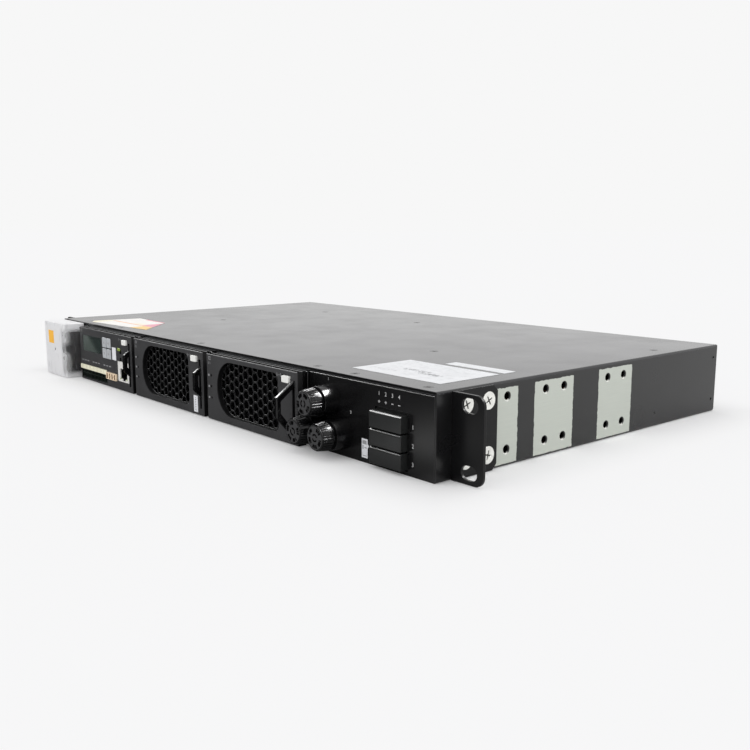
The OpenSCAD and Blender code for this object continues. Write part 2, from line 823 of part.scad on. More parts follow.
module fuse_bases() {
  cone_y = panel_y - cap_proud + cap_l + groove_l;
  color(plastic) for (f = fuses) difference() {
    union() {
      rod_y(f[0], f[1], cone_y, panel_y, collar_r - 0.6, collar_r);
      rod_y(f[0], f[1], panel_y - eps, panel_y + barrel_l, barrel_r, barrel_r);
      rod_y(f[0], f[1], panel_y + sheet, panel_y + sheet + nut_t, nut_r, nut_r);
      span([f[0] - tail_w / 2, panel_y + barrel_l - eps, f[1] - tail_t / 2],
        [f[0] + tail_w / 2, fuse_tail_y, f[1] + tail_t / 2]);
    }
    rod_y(f[0], f[1], cone_y - 1, panel_y + barrel_l - 2, stem_r + slip, stem_r + slip);
  }
}

module fuse_cap(i) {
  f = fuses[i];
  cap_y0 = panel_y - cap_proud;
  rim = 0.8;
  rib_w = PI * cap_r / ribs;
  rib_d = 0.35;
  ring_r = 0.4 * cap_r;
  front_r = cap_r - cap_taper;
  color(plastic) difference() {
    union() {
      rod_y(f[0], f[1], cap_y0, cap_y0 + rim, front_r - rim / 2, front_r);
      rod_y(f[0], f[1], cap_y0 + rim - eps, cap_y0 + cap_l, front_r, cap_r);
      rod_y(f[0], f[1], cap_y0 + cap_l - eps, cap_y0 + cap_l + groove_l - slip, barrel_r, barrel_r);
      rod_y(f[0], f[1], cap_y0 + cap_l, cap_y0 + cap_l + stem_l, stem_r, stem_r);
    }
    translate([f[0], cap_y0, f[1]]) rotate([-90, 0, 0]) {
      for (a = [0:ribs - 1])
        rotate([0, 0, a * 360 / ribs])
          translate([front_r - rib_d, 0, rim]) rotate([0, atan(cap_taper / (cap_l - rim)), 0])
            translate([0, -rib_w / 2, rim]) cube([2 * rib_d, rib_w, cap_l]);
      translate([0, 0, -rim]) difference() {
        cylinder(h = 2 * rim, r = ring_r);
        cylinder(h = 2 * rim, r = ring_r - rim);
      }
    }
  }
}

module terminal_header() {
  color(plastic) difference() {
    span([term_x - header_side, panel_y + sheet, sheet],
      [term_x + term_w + header_side, panel_y + sheet + header_d, header_top]);
    for (i = [0:2])
      translate([term_x + header_wall - slip, panel_y, term_z + i * term_pitch + header_wall - slip])
        cube([term_w - 2 * header_wall + 2 * slip, term_in + sheet,
          term_h - 2 * header_wall + 2 * slip]);
  }
}

module terminal_plug(i) {
  z0 = term_z + (2 - i) * term_pitch;
  z1 = z0 + term_h;
  y0 = panel_y - term_proud;
  y1 = panel_y + sheet - slip;
  contact_w = contact_pitch - 2;
  first_x = term_x + (term_w - 4 * contact_pitch) / 2 + 1;
  color(plastic) difference() {
    union() {
      along_x(term_x, term_x + term_w)
        polygon([[y0, z0], [y1, z0], [y1, z1], [y0 + term_cut, z1], [y0, z1 - term_cut]]);
      span([term_x + header_wall, y1 - eps, z0 + header_wall],
        [term_x + term_w - header_wall, panel_y + term_in, z1 - header_wall]);
    }
    for (k = [0:3])
      translate([first_x + k * contact_pitch, panel_y + term_in / 3, z0 + term_h / 2 - contact_w / 2])
        cube([contact_w, term_in, contact_w]);
  }
}

// ---- mains bay ----

cover_x0 = -side_x + cover_in;
cover_x1 = ctrl_x - cover_side;
cover_y0 = panel_y - cover_proud;
cover_y1 = panel_y - sheet - slip;
cover_z0 = cover_low;
cover_z1 = body_h - cover_high;
cover_cut = 1;
block_x0 = cover_x0 + cover_t + block_gap;
block_x1 = cover_x1 - cover_t - block_gap;
pole_pitch = (block_x1 - block_x0) / poles;
function pole_x(i) = block_x0 + (i + 0.5) * pole_pitch;

module ac_terminal_block() {
  z0 = mid_z - block_h / 2;
  y0 = panel_y - block_proud;
  bar_y = panel_y - block_proud / 2;
  color(plastic) difference() {
    span([block_x0, y0, z0], [block_x1, panel_y, z0 + block_h]);
    for (i = [0:poles - 1])
      translate([pole_x(i) - pole_pitch / 2 + rib_t, y0 - 1, z0 - 1])
        cube([pole_pitch - 2 * rib_t, block_proud - bar_t + 1, block_h + 2]);
  }
  color(zinc) for (i = [0:poles - 1]) {
    span([pole_x(i) - pole_pitch / 2 + rib_t + slip, bar_y, z0 + rib_t],
      [pole_x(i) + pole_pitch / 2 - rib_t - slip, panel_y - bar_t, z0 + block_h - rib_t]);
    for (s = [-1, 1])
      rod_y(pole_x(i), mid_z + s * block_h / 5, bar_y - pole_r / 1.5, bar_y, pole_r, pole_r);
  }
}

module ac_cover() {
  color([0.9, 0.93, 0.95, 0.4]) difference() {
    along_z(cover_z0, cover_z1) polygon([
      [cover_x0 + cover_cut, cover_y0], [cover_x1 - cover_cut, cover_y0],
      [cover_x1, cover_y0 + cover_cut], [cover_x1, cover_y1],
      [cover_x0, cover_y1], [cover_x0, cover_y0 + cover_cut]
    ]);
    span([cover_x0 + cover_t, cover_y0 + cover_t, cover_z0 + cover_t],
      [cover_x1 - cover_t, panel_y, cover_z1 - cover_t]);
    span([cover_x0 - 1, cover_y0 + 2 * cover_t, mid_z - wire_h / 2],
      [cover_x0 + cover_t + 1, cover_y0 + 2 * cover_t + wire_d, mid_z + wire_h / 2]);
    rod_y((cover_x0 + cover_x1) / 2, mid_z, cover_y0 - 1, cover_y0 + cover_t + 1,
      cover_shank_r, cover_shank_r);
  }
}

// ---- plug-in modules ----

// Plain front: its outer edges are rounded where they face forward
module front_plate(x0, w) {
  r = bezel_r;
  intersection() {
    along_z(bezel_z, bezel_top) {
      translate([x0, face_y + r]) square([w, bezel_t - r]);
      translate([x0 + r, face_y]) square([w - 2 * r, bezel_t]);
      for (x = [x0 + r, x0 + w - r]) translate([x, face_y + r]) circle(r);
    }
    along_x(x0, x0 + w) {
      translate([face_y + r, bezel_z]) square([bezel_t - r, bezel_top - bezel_z]);
      translate([face_y, bezel_z + r]) square([bezel_t, bezel_top - bezel_z - 2 * r]);
      for (z = [bezel_z + r, bezel_top - r]) translate([face_y + r, z]) circle(r);
    }
  }
}

// Slots through a front for its handle and its latch
module front_slots(x0, w) {
  sx = x0 + w - slot_edge;
  lx = x0 + w - latch_edge;
  span([sx - loop_t - 2 * slot_gap, face_y - 1, loop_bottom - slot_gap],
    [sx, case_y0 + 1, loop_top + slot_gap]);
  span([lx - latch_w / 2 - latch_travel - slot_gap, face_y - 1, latch_z - latch_h / 2 - slot_gap],
    [lx + latch_w / 2 + slot_gap, face_y + latch_in, latch_z + latch_h / 2 + slot_gap]);
  span([lx - latch_stem / 2 - latch_travel - slot_gap, face_y, latch_z - latch_h / 4 - slot_gap],
    [lx + latch_stem / 2 + slot_gap, case_y0 + 1, latch_z + latch_h / 4 + slot_gap]);
}

// Loop handle: an outline of Y and Z, pulled forward by pull
module handle(x0, w, pull) {
  hx = x0 + w - slot_edge - slot_gap;
  b = loop_band;
  y = face_y - pull;
  color(plastic) along_x(hx - loop_t, hx) difference() {
    polygon([
      [y + loop_bend, loop_bottom], [y - loop_proud, loop_z0], [y - loop_proud, loop_z1],
      [y + loop_bend, loop_top], [y + loop_in, loop_top], [y + loop_in, loop_top + loop_stop],
      [y + loop_in + b, loop_top + loop_stop], [y + loop_in + b, loop_bottom - loop_stop],
      [y + loop_in, loop_bottom - loop_stop], [y + loop_in, loop_bottom]
    ]);
    polygon([
      [y + loop_in, loop_bottom + loop_arm], [y + loop_bend, loop_bottom + loop_arm],
      [y - loop_proud + b, loop_z0 + loop_corner], [y - loop_proud + b, loop_z1 - loop_corner],
      [y + loop_bend, loop_top - loop_arm], [y + loop_in, loop_top - loop_arm]
    ]);
  }
}

module latch(x0, w) {
  lx = x0 + w - latch_edge;
  back_y = face_y + latch_in - slip;
  color(pale) {
    along_y(face_y - latch_proud, back_y)
      round_rect(lx - latch_w / 2, latch_z - latch_h / 2, latch_w, latch_h, 0.8, 0.8);
    span([lx - latch_stem / 2, back_y - eps, latch_z - latch_h / 4],
      [lx + latch_stem / 2, case_y0 + slip, latch_z + latch_h / 4]);
    span([lx - latch_w / 2, case_y0 + slip - eps, latch_z - latch_h / 2],
      [lx + latch_stem / 2 + 1, case_y0 + latch_tail, latch_z + latch_h / 2]);
  }
}

module case_box(x0, w) {
  cx0 = x0 + case_left;
  cx1 = x0 + w - case_right - slip;
  px = plug_x(x0, w);
  slits = floor((cx1 - cx0 - 2 * slit_pitch) / slit_pitch);
  color(steel) {
    difference() {
      span([cx0, case_y0, case_z0], [cx1, case_y1, case_z1]);
      span([cx0 + case_t, case_y0 - 1, case_z0 + case_t], [cx1 - case_t, case_y1 - case_t, case_z1 - case_t]);
      span([cx1 - case_t - 1, case_y0 - 1, loop_bottom - 2 * loop_stop],
        [cx1 + 1, face_y + loop_in + loop_band + 1, loop_top + 2 * loop_stop]);
      span([px - slip, case_y1 - 2 * case_t, plug_z - slip],
        [px + plug_w + slip, case_y1 + 1, plug_z + plug_h + slip]);
      for (i = [0:slits - 1])
        translate([cx0 + slit_pitch + i * slit_pitch, case_y1 - 2 * case_t, plug_z + plug_h + 2 * slit_w])
          cube([slit_w, 3 * case_t, case_z1 - plug_z - plug_h - 3 * slit_w]);
    }
    for (x = [cx0 + board_in / 2, cx1 - board_in / 2], y = [case_y0 + 2 * fan_d, case_y1 - board_in])
      translate([x, y, case_z0 + case_t - eps]) cylinder(h = post_h + eps, r = post_r);
  }
}

module rear_plug(x0, w) {
  px = plug_x(x0, w);
  y1 = back_plane_y - plug_wall - slip;
  contact_w = plug_w / 7 - plug_wall;
  color("#d8d2c0") difference() {
    span([px, case_y1 - plug_in, plug_z], [px + plug_w, y1, plug_z + plug_h]);
    for (i = [0:6])
      translate([px + (i + 0.5) * plug_w / 7 - contact_w / 2, case_y1 + 2 * slip, plug_z + plug_wall])
        cube([contact_w, plug_d, plug_h - 2 * plug_wall]);
  }
}

module grille_field(x0) {
  round_rect(x0 + grille_x, grille_z, grille_w, grille_h, grille_left_r, grille_rr);
}

module rectifier_front(i) {
  x0 = rect_x[i];
  cell_r = (cell_pitch - cell_wall) / sqrt(3);
  dx = cell_pitch * sqrt(3) / 2;
  web_y = face_y + recess_d;
  color(plastic) difference() {
    front_plate(x0, rect_w);
    front_slots(x0, rect_w);
    along_y(face_y - 1, web_y) grille_field(x0);
    along_y(web_y - eps, case_y0 + 1) intersection() {
      grille_field(x0);
      for (c = [0:ceil(grille_w / dx)], r = [0:ceil(grille_h / cell_pitch)])
        translate([x0 + grille_x + (c + 0.35) * dx, grille_z + (r + 0.1 + 0.5 * (c % 2)) * cell_pitch])
          circle(cell_r, $fn = 6);
    }
    for (k = [0:2])
      rod_y(x0 + light_x, light_z + k * light_pitch, face_y - 1, case_y0 + 1, light_r, light_r);
  }
}

module rectifier_board(i) {
  cx0 = rect_x[i] + case_left + case_t + slip;
  cx1 = rect_x[i] + rect_w - case_right - case_t - 2 * slip;
  y0 = fan_y + fan_d + part_gap;
  z = board_z + board_t;
  can_x = cx1 - part_gap - cap_can_r;
  color(green) difference() {
    span([cx0, y0, board_z], [cx1, case_y1 - case_t - slip, z]);
    for (x = [cx0 + board_in, cx1 - board_in])
      translate([x, y0 + part_gap, board_z - 1]) cylinder(h = board_t + 2, r = board_hole_r);
  }
  color("#4a4338") {
    translate([cx0 + part_gap, y0 + 3 * part_gap, z]) cube([coil_w, coil_w, part_h]);
    translate([can_x - cap_can_r, y0 + 4 * can_pitch, z]) cube([2 * cap_can_r, coil_w, part_h]);
  }
  color("#26323f") for (k = [0:2])
    translate([can_x, y0 + (k + 1) * can_pitch, z]) cylinder(h = part_h, r = cap_can_r);
}

module rectifier_heatsink(i) {
  x0 = rect_x[i] + case_left + case_t + slip + part_gap;
  x1 = rect_x[i] + rect_w - case_right - case_t - 2 * slip - 2 * part_gap - 2 * cap_can_r;
  sink_w = (x1 - x0 - part_gap) / 2;
  fin_pitch = (sink_w - fin_t) / (fins - 1);
  z = board_z + board_t;
  y0 = fan_y + fan_d + 5 * part_gap + coil_w;
  color(steel) for (x = [x0, x0 + sink_w + part_gap]) {
    span([x, y0, z], [x + sink_w, y0 + sink_l, z + sink_t]);
    for (f = [0:fins - 1])
      span([x + f * fin_pitch, y0, z + sink_t - eps], [x + f * fin_pitch + fin_t, y0 + sink_l, z + part_h]);
  }
}

module fan_frame(i) {
  cx = rect_x[i] + fan_x;
  rib_y = fan_y + fan_d - fan_rib_t;
  color("#1d1e20") {
    along_y(fan_y, rib_y) translate([cx, mid_z]) difference() {
      square(fan_s, center = true);
      circle(fan_bore_r);
    }
    along_y(rib_y, fan_y + fan_d) translate([cx, mid_z]) {
      difference() {
        square(fan_s, center = true);
        circle(fan_bore_r);
      }
      circle(hub_r);
      square([fan_rib_w, 2 * fan_bore_r + 1], center = true);
      square([2 * fan_bore_r + 1, fan_rib_w], center = true);
    }
    along_y(fan_y + fan_d / 3, rib_y) translate([cx, mid_z]) difference() {
      circle(shaft_r + sleeve_t);
      circle(shaft_r + run_gap);
    }
  }
}

module fan_rotor(i) {
  cx = rect_x[i] + fan_x;
  y0 = fan_y + 1;
  hub_l = fan_d - 2 * fan_rib_t;
  hub_t = 1.2;
  blade_l = fan_bore_r - tip_gap - 1 - hub_r;
  color("#2a2b2e") {
    difference() {
      rod_y(cx, mid_z, y0, y0 + hub_l, hub_r, hub_r);
      rod_y(cx, mid_z, y0 + 2 * hub_t, y0 + hub_l + 1, hub_r - hub_t, hub_r - hub_t);
    }
    rod_y(cx, mid_z, y0 + 2 * hub_t - eps, fan_y + fan_d - fan_rib_t - slip, shaft_r, shaft_r);
    for (k = [0:blades - 1])
      translate([cx, y0 + hub_l / 2, mid_z]) rotate([0, k * 360 / blades, 0])
        translate([hub_r - hub_t / 2, 0, 0]) rotate([blade_pitch, 0, 0])
          translate([0, -hub_l / 2 + 1, -blade_t / 2]) cube([blade_l, hub_l - 2, blade_t]);
  }
}

// ---- controller ----

// Across the controller's front, from its right edge: jack, relay block, keys and display
jack_x = ctrl_x + ctrl_w - jack_edge - jack_w;
relay_x = jack_x - 2 * slip - relay_w;
signal_x = ctrl_x + signal_in;
signal_x1 = relay_x - 2 * slot_gap;
key_x = relay_x - 5;
lcd_x0 = ctrl_x + lcd_x;
lcd_x1 = key_x - lcd_gap;
lcd_z1 = bezel_top - lcd_top;
key_h = (bezel_top - key_top - key_z - key_gap) / 2;
port_x = jack_x + jack_w / 3;
port_z = [23.3, 28.9];
lamp_r = 1.2;
lcd_glass = 1;
signal_low = 6.6;
front_back_y = case_y0 + 4;

function key_left(c) = key_x + c * (key_w + key_gap);
function key_bottom(r) = key_z + r * (key_h + key_gap);

module controller_front() {
  ks = key_slip;
  color(plastic) difference() {
    front_plate(ctrl_x, ctrl_w);
    front_slots(ctrl_x, ctrl_w);
    span([lcd_x0, face_y - 1, lcd_z], [lcd_x1, face_y + lcd_glass + slot_gap, lcd_z1]);
    span([lcd_x0 + lcd_rim, face_y, lcd_z + lcd_rim], [lcd_x1 - lcd_rim, case_y0 + 1, lcd_z1 - lcd_rim]);
    for (c = [0, 1], r = [0, 1])
      span([key_left(c) - ks, face_y - 1, key_bottom(r) - ks],
        [key_left(c) + key_w + ks, case_y0 + 1, key_bottom(r) + key_h + ks]);
    span([signal_x, face_y - 1, ports_z - signal_low - slot_gap],
      [signal_x1, case_y0 + 1, ports_z + signal_h + slot_gap]);
    span([relay_x, face_y - 1, ports_z - relay_h / 2 - slot_gap],
      [relay_x + relay_w, case_y0 + 1, ports_z + relay_h / 2 + slot_gap]);
    span([jack_x, face_y - 1, jack_z - slot_gap], [jack_x + jack_w, case_y0 + 1, jack_z + jack_h]);
    for (z = port_z)
      span([port_x - port_w / 2, face_y - 1, z - port_w / 2],
        [port_x + port_w / 2, face_y + port_w, z + port_w / 2]);
    rod_y(port_x - port_w, port_z[1] + port_w / 2, face_y - 1, case_y0 + 1, lamp_r, lamp_r);
  }
}

module key(c, r) {
  color("#d9dbd8") {
    span([key_left(c), face_y - key_proud, key_bottom(r)],
      [key_left(c) + key_w, case_y0 + slip, key_bottom(r) + key_h]);
    span([key_left(c) + 1, case_y0 + slip - eps, key_bottom(r) + 1],
      [key_left(c) + key_w - 1, front_back_y - slip - key_travel, key_bottom(r) + key_h - 1]);
  }
}

module display() {
  rim = lcd_rim + slot_gap;
  glass_y = face_y + lcd_glass + slot_gap;
  color("#39443f") {
    span([lcd_x0 + fit, glass_y - lcd_glass, lcd_z + fit], [lcd_x1 - fit, glass_y, lcd_z1 - fit]);
    span([lcd_x0 + rim, glass_y - eps, lcd_z + rim], [lcd_x1 - rim, front_back_y, lcd_z1 - rim]);
  }
}

module controller_board() {
  cx0 = ctrl_x + case_left + case_t + slip;
  cx1 = ctrl_x + ctrl_w - case_right - case_t - 2 * slip;
  y0 = case_y0 + chip_w;
  z = board_z + board_t;
  inner_x1 = cx1 - latch_edge;
  color(green) {
    difference() {
      span([cx0, y0, board_z], [cx1, case_y1 - case_t - slip, z]);
      for (x = [cx0 + board_in, cx1 - board_in])
        translate([x, y0 + 3 * chip_w, board_z - 1]) cylinder(h = board_t + 2, r = board_hole_r);
    }
    span([cx0, front_back_y, case_z0 + case_t + slip],
      [inner_x1, front_back_y + board_t, case_z1 - case_t - slip]);
    span([cx0 + chip_w, front_back_y + board_t - eps, board_z], [cx0 + 2 * chip_w, y0 + eps, z]);
  }
  color("#1c1d20") {
    translate([cx0 + board_in, y0 + chip_w, z]) cube([chip_w, chip_w, board_t]);
    translate([cx0 + 3 * board_in, y0 + 4 * chip_w, z]) cube([board_in, chip_w / 2, part_h / 2]);
  }
}

module network_jack() {
  x0 = jack_x + (jack_w - jack_open_w) / 2;
  z0 = jack_z + 2 * fit + 2;
  color(pale) difference() {
    span([jack_x + fit, face_y + 2 * slot_gap, jack_z],
      [jack_x + jack_w - fit, front_back_y, jack_z + jack_h - fit]);
    span([x0, face_y - 1, z0], [x0 + jack_open_w, case_y0 + 2, z0 + jack_open_h]);
    span([x0 + jack_open_w * 0.28, face_y - 1, z0 - 1.5], [x0 + jack_open_w * 0.72, case_y0 + 2, z0 + eps]);
  }
}

module signal_block() {
  x0 = signal_x + slot_gap;
  x1 = signal_x1 - slot_gap;
  z0 = ports_z - signal_low;
  y1 = case_y0 - slip;
  color("#e9e4c6") span([x0, face_y - 2 * slip, ports_z], [x1, y1, ports_z + signal_h]);
  color("#20382a") {
    span([x0, face_y + 1, z0], [x1, y1, ports_z + eps]);
    span([x0 + 2 * lcd_rim, y1 - eps, z0 + lcd_rim], [x1 - lcd_rim, front_back_y, ports_z + signal_h - 1]);
  }
}

module relay_block() {
  hole_r = relay_h / 4;
  hole_pitch = (relay_w - 4 * slot_gap) / 4;
  color("#e8cfa8") difference() {
    span([relay_x + slot_gap, face_y - relay_h / 4, ports_z - relay_h / 2],
      [relay_x + relay_w - slot_gap, front_back_y, ports_z + relay_h / 2]);
    for (k = [0:3])
      rod_y(relay_x + 2 * slot_gap + (k + 0.5) * hole_pitch, ports_z, face_y - relay_h, face_y + relay_h,
        hole_r, hole_r);
  }
}

// ---- drawing ----

tray();
lid();
rear_panel();
ac_panel();
dc_panel();
bay_dividers();
ear_left();
ear_right();
ear_screws();
cover_screws();
backplane_board();
backplane_sockets();
positive_bar();
negative_bar();
fuse_bases();
terminal_header();
ac_terminal_block();
ac_cover();
lid_label();
lid_stickers();
fuse_cap(0);  // fuse_cap_1
fuse_cap(1);  // fuse_cap_2
fuse_cap(2);  // fuse_cap_3
terminal_plug(0);  // terminal_plug_1
terminal_plug(1);  // terminal_plug_2
terminal_plug(2);  // terminal_plug_3
case_box(ctrl_x, ctrl_w);  // controller_case
controller_front();
controller_board();
rear_plug(ctrl_x, ctrl_w);  // controller_plug
display();
key(0, 1);  // key_up
key(0, 0);  // key_down
key(1, 1);  // key_back
key(1, 0);  // key_enter
network_jack();
signal_block();
relay_block();
latch(ctrl_x, ctrl_w);  // controller_latch
handle(ctrl_x, ctrl_w, 0);  // controller_handle
case_box(rect_x[0], rect_w);  // rectifier_1_case
rectifier_front(0);  // rectifier_1_front
rectifier_board(0);  // rectifier_1_board
rectifier_heatsink(0);  // rectifier_1_heatsink
rear_plug(rect_x[0], rect_w);  // rectifier_1_plug
fan_frame(0);  // rectifier_1_fan_frame
fan_rotor(0);  // rectifier_1_fan_rotor
latch(rect_x[0], rect_w);  // rectifier_1_latch
handle(rect_x[0], rect_w, open_pull[0]);  // rectifier_1_handle
case_box(rect_x[1], rect_w);  // rectifier_2_case
rectifier_front(1);  // rectifier_2_front
rectifier_board(1);  // rectifier_2_board
rectifier_heatsink(1);  // rectifier_2_heatsink
rear_plug(rect_x[1], rect_w);  // rectifier_2_plug
fan_frame(1);  // rectifier_2_fan_frame
fan_rotor(1);  // rectifier_2_fan_rotor
latch(rect_x[1], rect_w);  // rectifier_2_latch
handle(rect_x[1], rect_w, open_pull[1]);  // rectifier_2_handle
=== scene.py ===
import json
import math

import bmesh
import bpy
from mathutils import Matrix, Vector

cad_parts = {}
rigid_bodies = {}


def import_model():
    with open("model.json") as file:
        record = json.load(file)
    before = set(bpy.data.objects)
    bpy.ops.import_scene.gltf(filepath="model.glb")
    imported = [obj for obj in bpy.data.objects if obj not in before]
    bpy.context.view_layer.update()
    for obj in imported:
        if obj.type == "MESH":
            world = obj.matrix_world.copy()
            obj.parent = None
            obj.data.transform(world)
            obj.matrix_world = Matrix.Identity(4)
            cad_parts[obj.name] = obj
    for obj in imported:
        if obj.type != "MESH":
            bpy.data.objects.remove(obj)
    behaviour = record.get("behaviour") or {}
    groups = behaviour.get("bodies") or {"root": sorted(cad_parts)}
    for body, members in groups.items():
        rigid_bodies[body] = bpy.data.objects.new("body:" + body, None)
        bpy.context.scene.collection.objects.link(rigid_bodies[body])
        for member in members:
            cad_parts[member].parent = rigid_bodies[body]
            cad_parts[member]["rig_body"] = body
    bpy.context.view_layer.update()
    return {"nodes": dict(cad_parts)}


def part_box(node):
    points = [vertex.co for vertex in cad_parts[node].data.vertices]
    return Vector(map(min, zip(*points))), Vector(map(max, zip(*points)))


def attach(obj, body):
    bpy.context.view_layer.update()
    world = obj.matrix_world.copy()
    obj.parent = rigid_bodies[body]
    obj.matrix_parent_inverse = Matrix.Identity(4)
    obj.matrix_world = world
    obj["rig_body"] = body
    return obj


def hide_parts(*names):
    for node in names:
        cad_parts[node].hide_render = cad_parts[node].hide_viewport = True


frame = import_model()

NODES = frame["nodes"]
MM = 0.001

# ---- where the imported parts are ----


def low(node):
    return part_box(node)[0]


def high(node):
    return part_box(node)[1]


def box_mm(node):
    return [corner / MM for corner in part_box(node)]


SIDE_X = high("tray").x
TOP_Z = high("lid").z
PANEL_Y = low("dc_panel").y
FACE_Y = low("rectifier_1_front").y
FRONTS = {"controller": "00", "rectifier_1": "01", "rectifier_2": "02"}

# ---- helpers for objects and nodes ----


def place_object(name, data):
    """A new object in the scene."""
    made = bpy.data.objects.new(name, data)
    bpy.context.scene.collection.objects.link(made)
    return made


def plain_mesh(holder):
    """The mesh that an object makes once its modifiers and curves are worked out."""
    return bpy.data.meshes.new_from_object(holder.evaluated_get(bpy.context.evaluated_depsgraph_get()))


def feed(tree, socket, value):
    """Links a socket to another one, or sets its value."""
    if isinstance(value, bpy.types.NodeSocket):
        tree.links.new(value, socket)
    else:
        socket.default_value = value


def add_node(tree, kind, inputs=None, **settings):
    """A node with these settings, whose inputs are fed with values or sockets."""
    node = tree.nodes.new(kind)
    for name, value in settings.items():
        setattr(node, name, value)
    for key, value in (inputs or {}).items():
        feed(tree, node.inputs[key], value)
    return node


# ---- camera ----

LENS = 41.4545
YAW = math.radians(-49.234)
PITCH = math.radians(-9.546)
CAMERA_PLACE = Vector((495.883, -285.725, 116.773)) * MM


def make_camera():
    """A long lens at the shelf's right front corner, a little above the lid."""
    data = bpy.data.cameras.new("camera")
    data.sensor_width = 36
    data.lens = LENS
    data.clip_end = 100
    camera = place_object("camera", data)
    flat = math.cos(PITCH)
    forward = Vector((math.sin(YAW) * flat, math.cos(YAW) * flat, math.sin(PITCH)))
    camera.location = CAMERA_PLACE
    camera.rotation_mode = "QUATERNION"
    camera.rotation_quaternion = forward.to_track_quat("-Z", "Y")
    bpy.context.scene.camera = camera


# ---- finishes ----


class Finish:
    """One material on Object coordinates, with its colour, roughness and height built up in steps."""

    def __init__(self, name, colour, roughness, metallic=0.0, level=0.5):
        self.name = name
        self.material = bpy.data.materials.new(name)
        self.material.use_nodes = True
        self.tree = self.material.node_tree
        self.shader = self.tree.nodes["Principled BSDF"]
        self.give("Roughness", roughness)
        self.give("Metallic", metallic)
        self.give("Specular IOR Level", level)
        self.place = self.add("ShaderNodeTexCoord").outputs["Object"]
        self.level = roughness
        self.height = None
        self.paint((*colour, 1))

    def add(self, kind, inputs=None, **settings):
        return add_node(self.tree, kind, inputs, **settings)

    def give(self, key, value):
        """Feeds one of the shader's own inputs."""
        feed(self.tree, self.shader.inputs[key], value)

    def paint(self, value):
        self.tone = value
        self.give("Base Color", value)

    def maths(self, how, a, b=0.0):
        return self.add("ShaderNodeMath", {0: a, 1: b}, operation=how).outputs[0]

    def noise(self, size, detail=3.0, stretch=(1, 1, 1)):
        """Noise whose features are about size metres across."""
        scale = [1 / (size * s) for s in stretch]
        spread = self.add("ShaderNodeMapping", {"Vector": self.place, "Scale": scale}).outputs[0]
        cloud = {"Vector": spread, "Scale": 1.0, "Detail": detail}
        return self.add("ShaderNodeTexNoise", cloud).outputs["Fac"]

    def between(self, value, low_in, high_in, low_out=0.0, high_out=1.0):
        """The value carried from one range to another and held within it."""
        ends = {"From Min": low_in, "From Max": high_in, "To Min": low_out, "To Max": high_out}
        return self.add("ShaderNodeMapRange", {"Value": value, **ends}).outputs[0]

    def mix(self, mask, a, b):
        return self.add("ShaderNodeMix", {0: mask, 6: a, 7: b}, data_type="RGBA").outputs[2]

    def axis(self, letter):
        return self.add("ShaderNodeSeparateXYZ", {0: self.place}).outputs[letter]

    def off_box(self, sides, edge=None):
        """Signed distance to a box, from {axis: (low, high)}; edge is a noise that roughens its border."""
        worst = None
        for letter, (a, b) in sides.items():
            away = self.maths("ABSOLUTE", self.maths("SUBTRACT", self.axis(letter), (a + b) / 2))
            away = self.maths("SUBTRACT", away, (b - a) / 2)
            worst = away if worst is None else self.maths("MAXIMUM", worst, away)
        if edge is not None:
            worst = self.maths("ADD", worst, edge)
        return worst

    def off_patch(self, lo, x0, x1, y0, y1):
        """Signed distance to a flat patch, given in millimetres from a corner."""
        return self.off_box({"X": (lo.x + x0 * MM, lo.x + x1 * MM), "Y": (lo.y + y0 * MM, lo.y + y1 * MM)})

    def inside(self, distance, soft=0.05 * MM):
        return self.between(distance, -soft, soft, 1.0, 0.0)

    def past(self, letter, start, stop):
        """From 0 at one place on an axis to 1 at another."""
        return self.between(self.axis(letter), start, stop)

    def dot(self, a, b):
        return self.add("ShaderNodeVectorMath", {0: a, 1: b}, operation="DOT_PRODUCT").outputs["Value"]

    def normal(self):
        return self.add("ShaderNodeNewGeometry").outputs["Normal"]

    def facing(self, way, low_in, high_in):
        """Where the surface faces this way."""
        return self.between(self.dot(self.normal(), way), low_in, high_in)

    def vary_colour(self, size, amount):
        """Lightens and darkens the colour by amount over patches of one size."""
        shade = self.between(self.noise(size), 0.3, 0.7, 1 - amount, 1 + amount)
        self.paint(self.add("ShaderNodeHueSaturation", {"Color": self.tone, "Value": shade}).outputs[0])

    def vary_roughness(self, size, amount, stretch=(1, 1, 1)):
        fac = self.noise(size, 2.0, stretch)
        self.level = self.between(fac, 0.3, 0.7, self.level - amount, self.level + amount)
        self.give("Roughness", self.level)

    def layer(self, mask, colour=None, roughness=None):
        """Covers the masked part with another colour or roughness."""
        if colour is not None:
            self.paint(self.mix(mask, self.tone, colour))
        if roughness is not None:
            self.level = self.between(mask, 0, 1, self.level, roughness)
            self.give("Roughness", self.level)

    def grain(self, size, depth, stretch=(1, 1, 1)):
        self.raise_by(self.noise(size, 2.0, stretch), depth)

    def raise_by(self, height, depth):
        """Lays a relief over the ones before it."""
        bump = self.add("ShaderNodeBump", {"Distance": depth, "Height": height})
        if self.height is not None:
            feed(self.tree, bump.inputs["Normal"], self.height)
        self.height = bump.outputs[0]
        self.give("Normal", self.height)

    def wear_and_edge_highlight(self, colour, radius, amount):
        """Edges in another colour, broken up by noise: worn edges which, where paler, also stand as painted
        edge highlights.
        """
        rounded = self.add("ShaderNodeBevel", {"Radius": radius}, samples=4).outputs[0]
        edge = self.between(self.dot(rounded, self.normal()), 0.98, 0.8)
        broken = self.between(self.noise(6 * MM, 4.0), 0.42, 0.62)
        mask = self.maths("MULTIPLY", self.maths("MULTIPLY", edge, broken), amount)
        self.paint(self.mix(mask, self.tone, (*colour, 1)))


# in millimetres: bare bands as (front, back, top), then depths under a side or a front
BARE_BANDS = ((29.1, 45.8, 40.1), (59.1, 91.4, 40.3), (114.3, 146.5, 40.7))
SKIN = 0.9
RIM_DEPTH = 0.04
# paler edge colour for dark mouldings: worn edges that also stand as painted edge highlights
EDGE_WEAR_AND_HIGHLIGHT = (0.12, 0.12, 0.125)
WEB_DEPTH = 3.4
CREAM_Z = 9.0


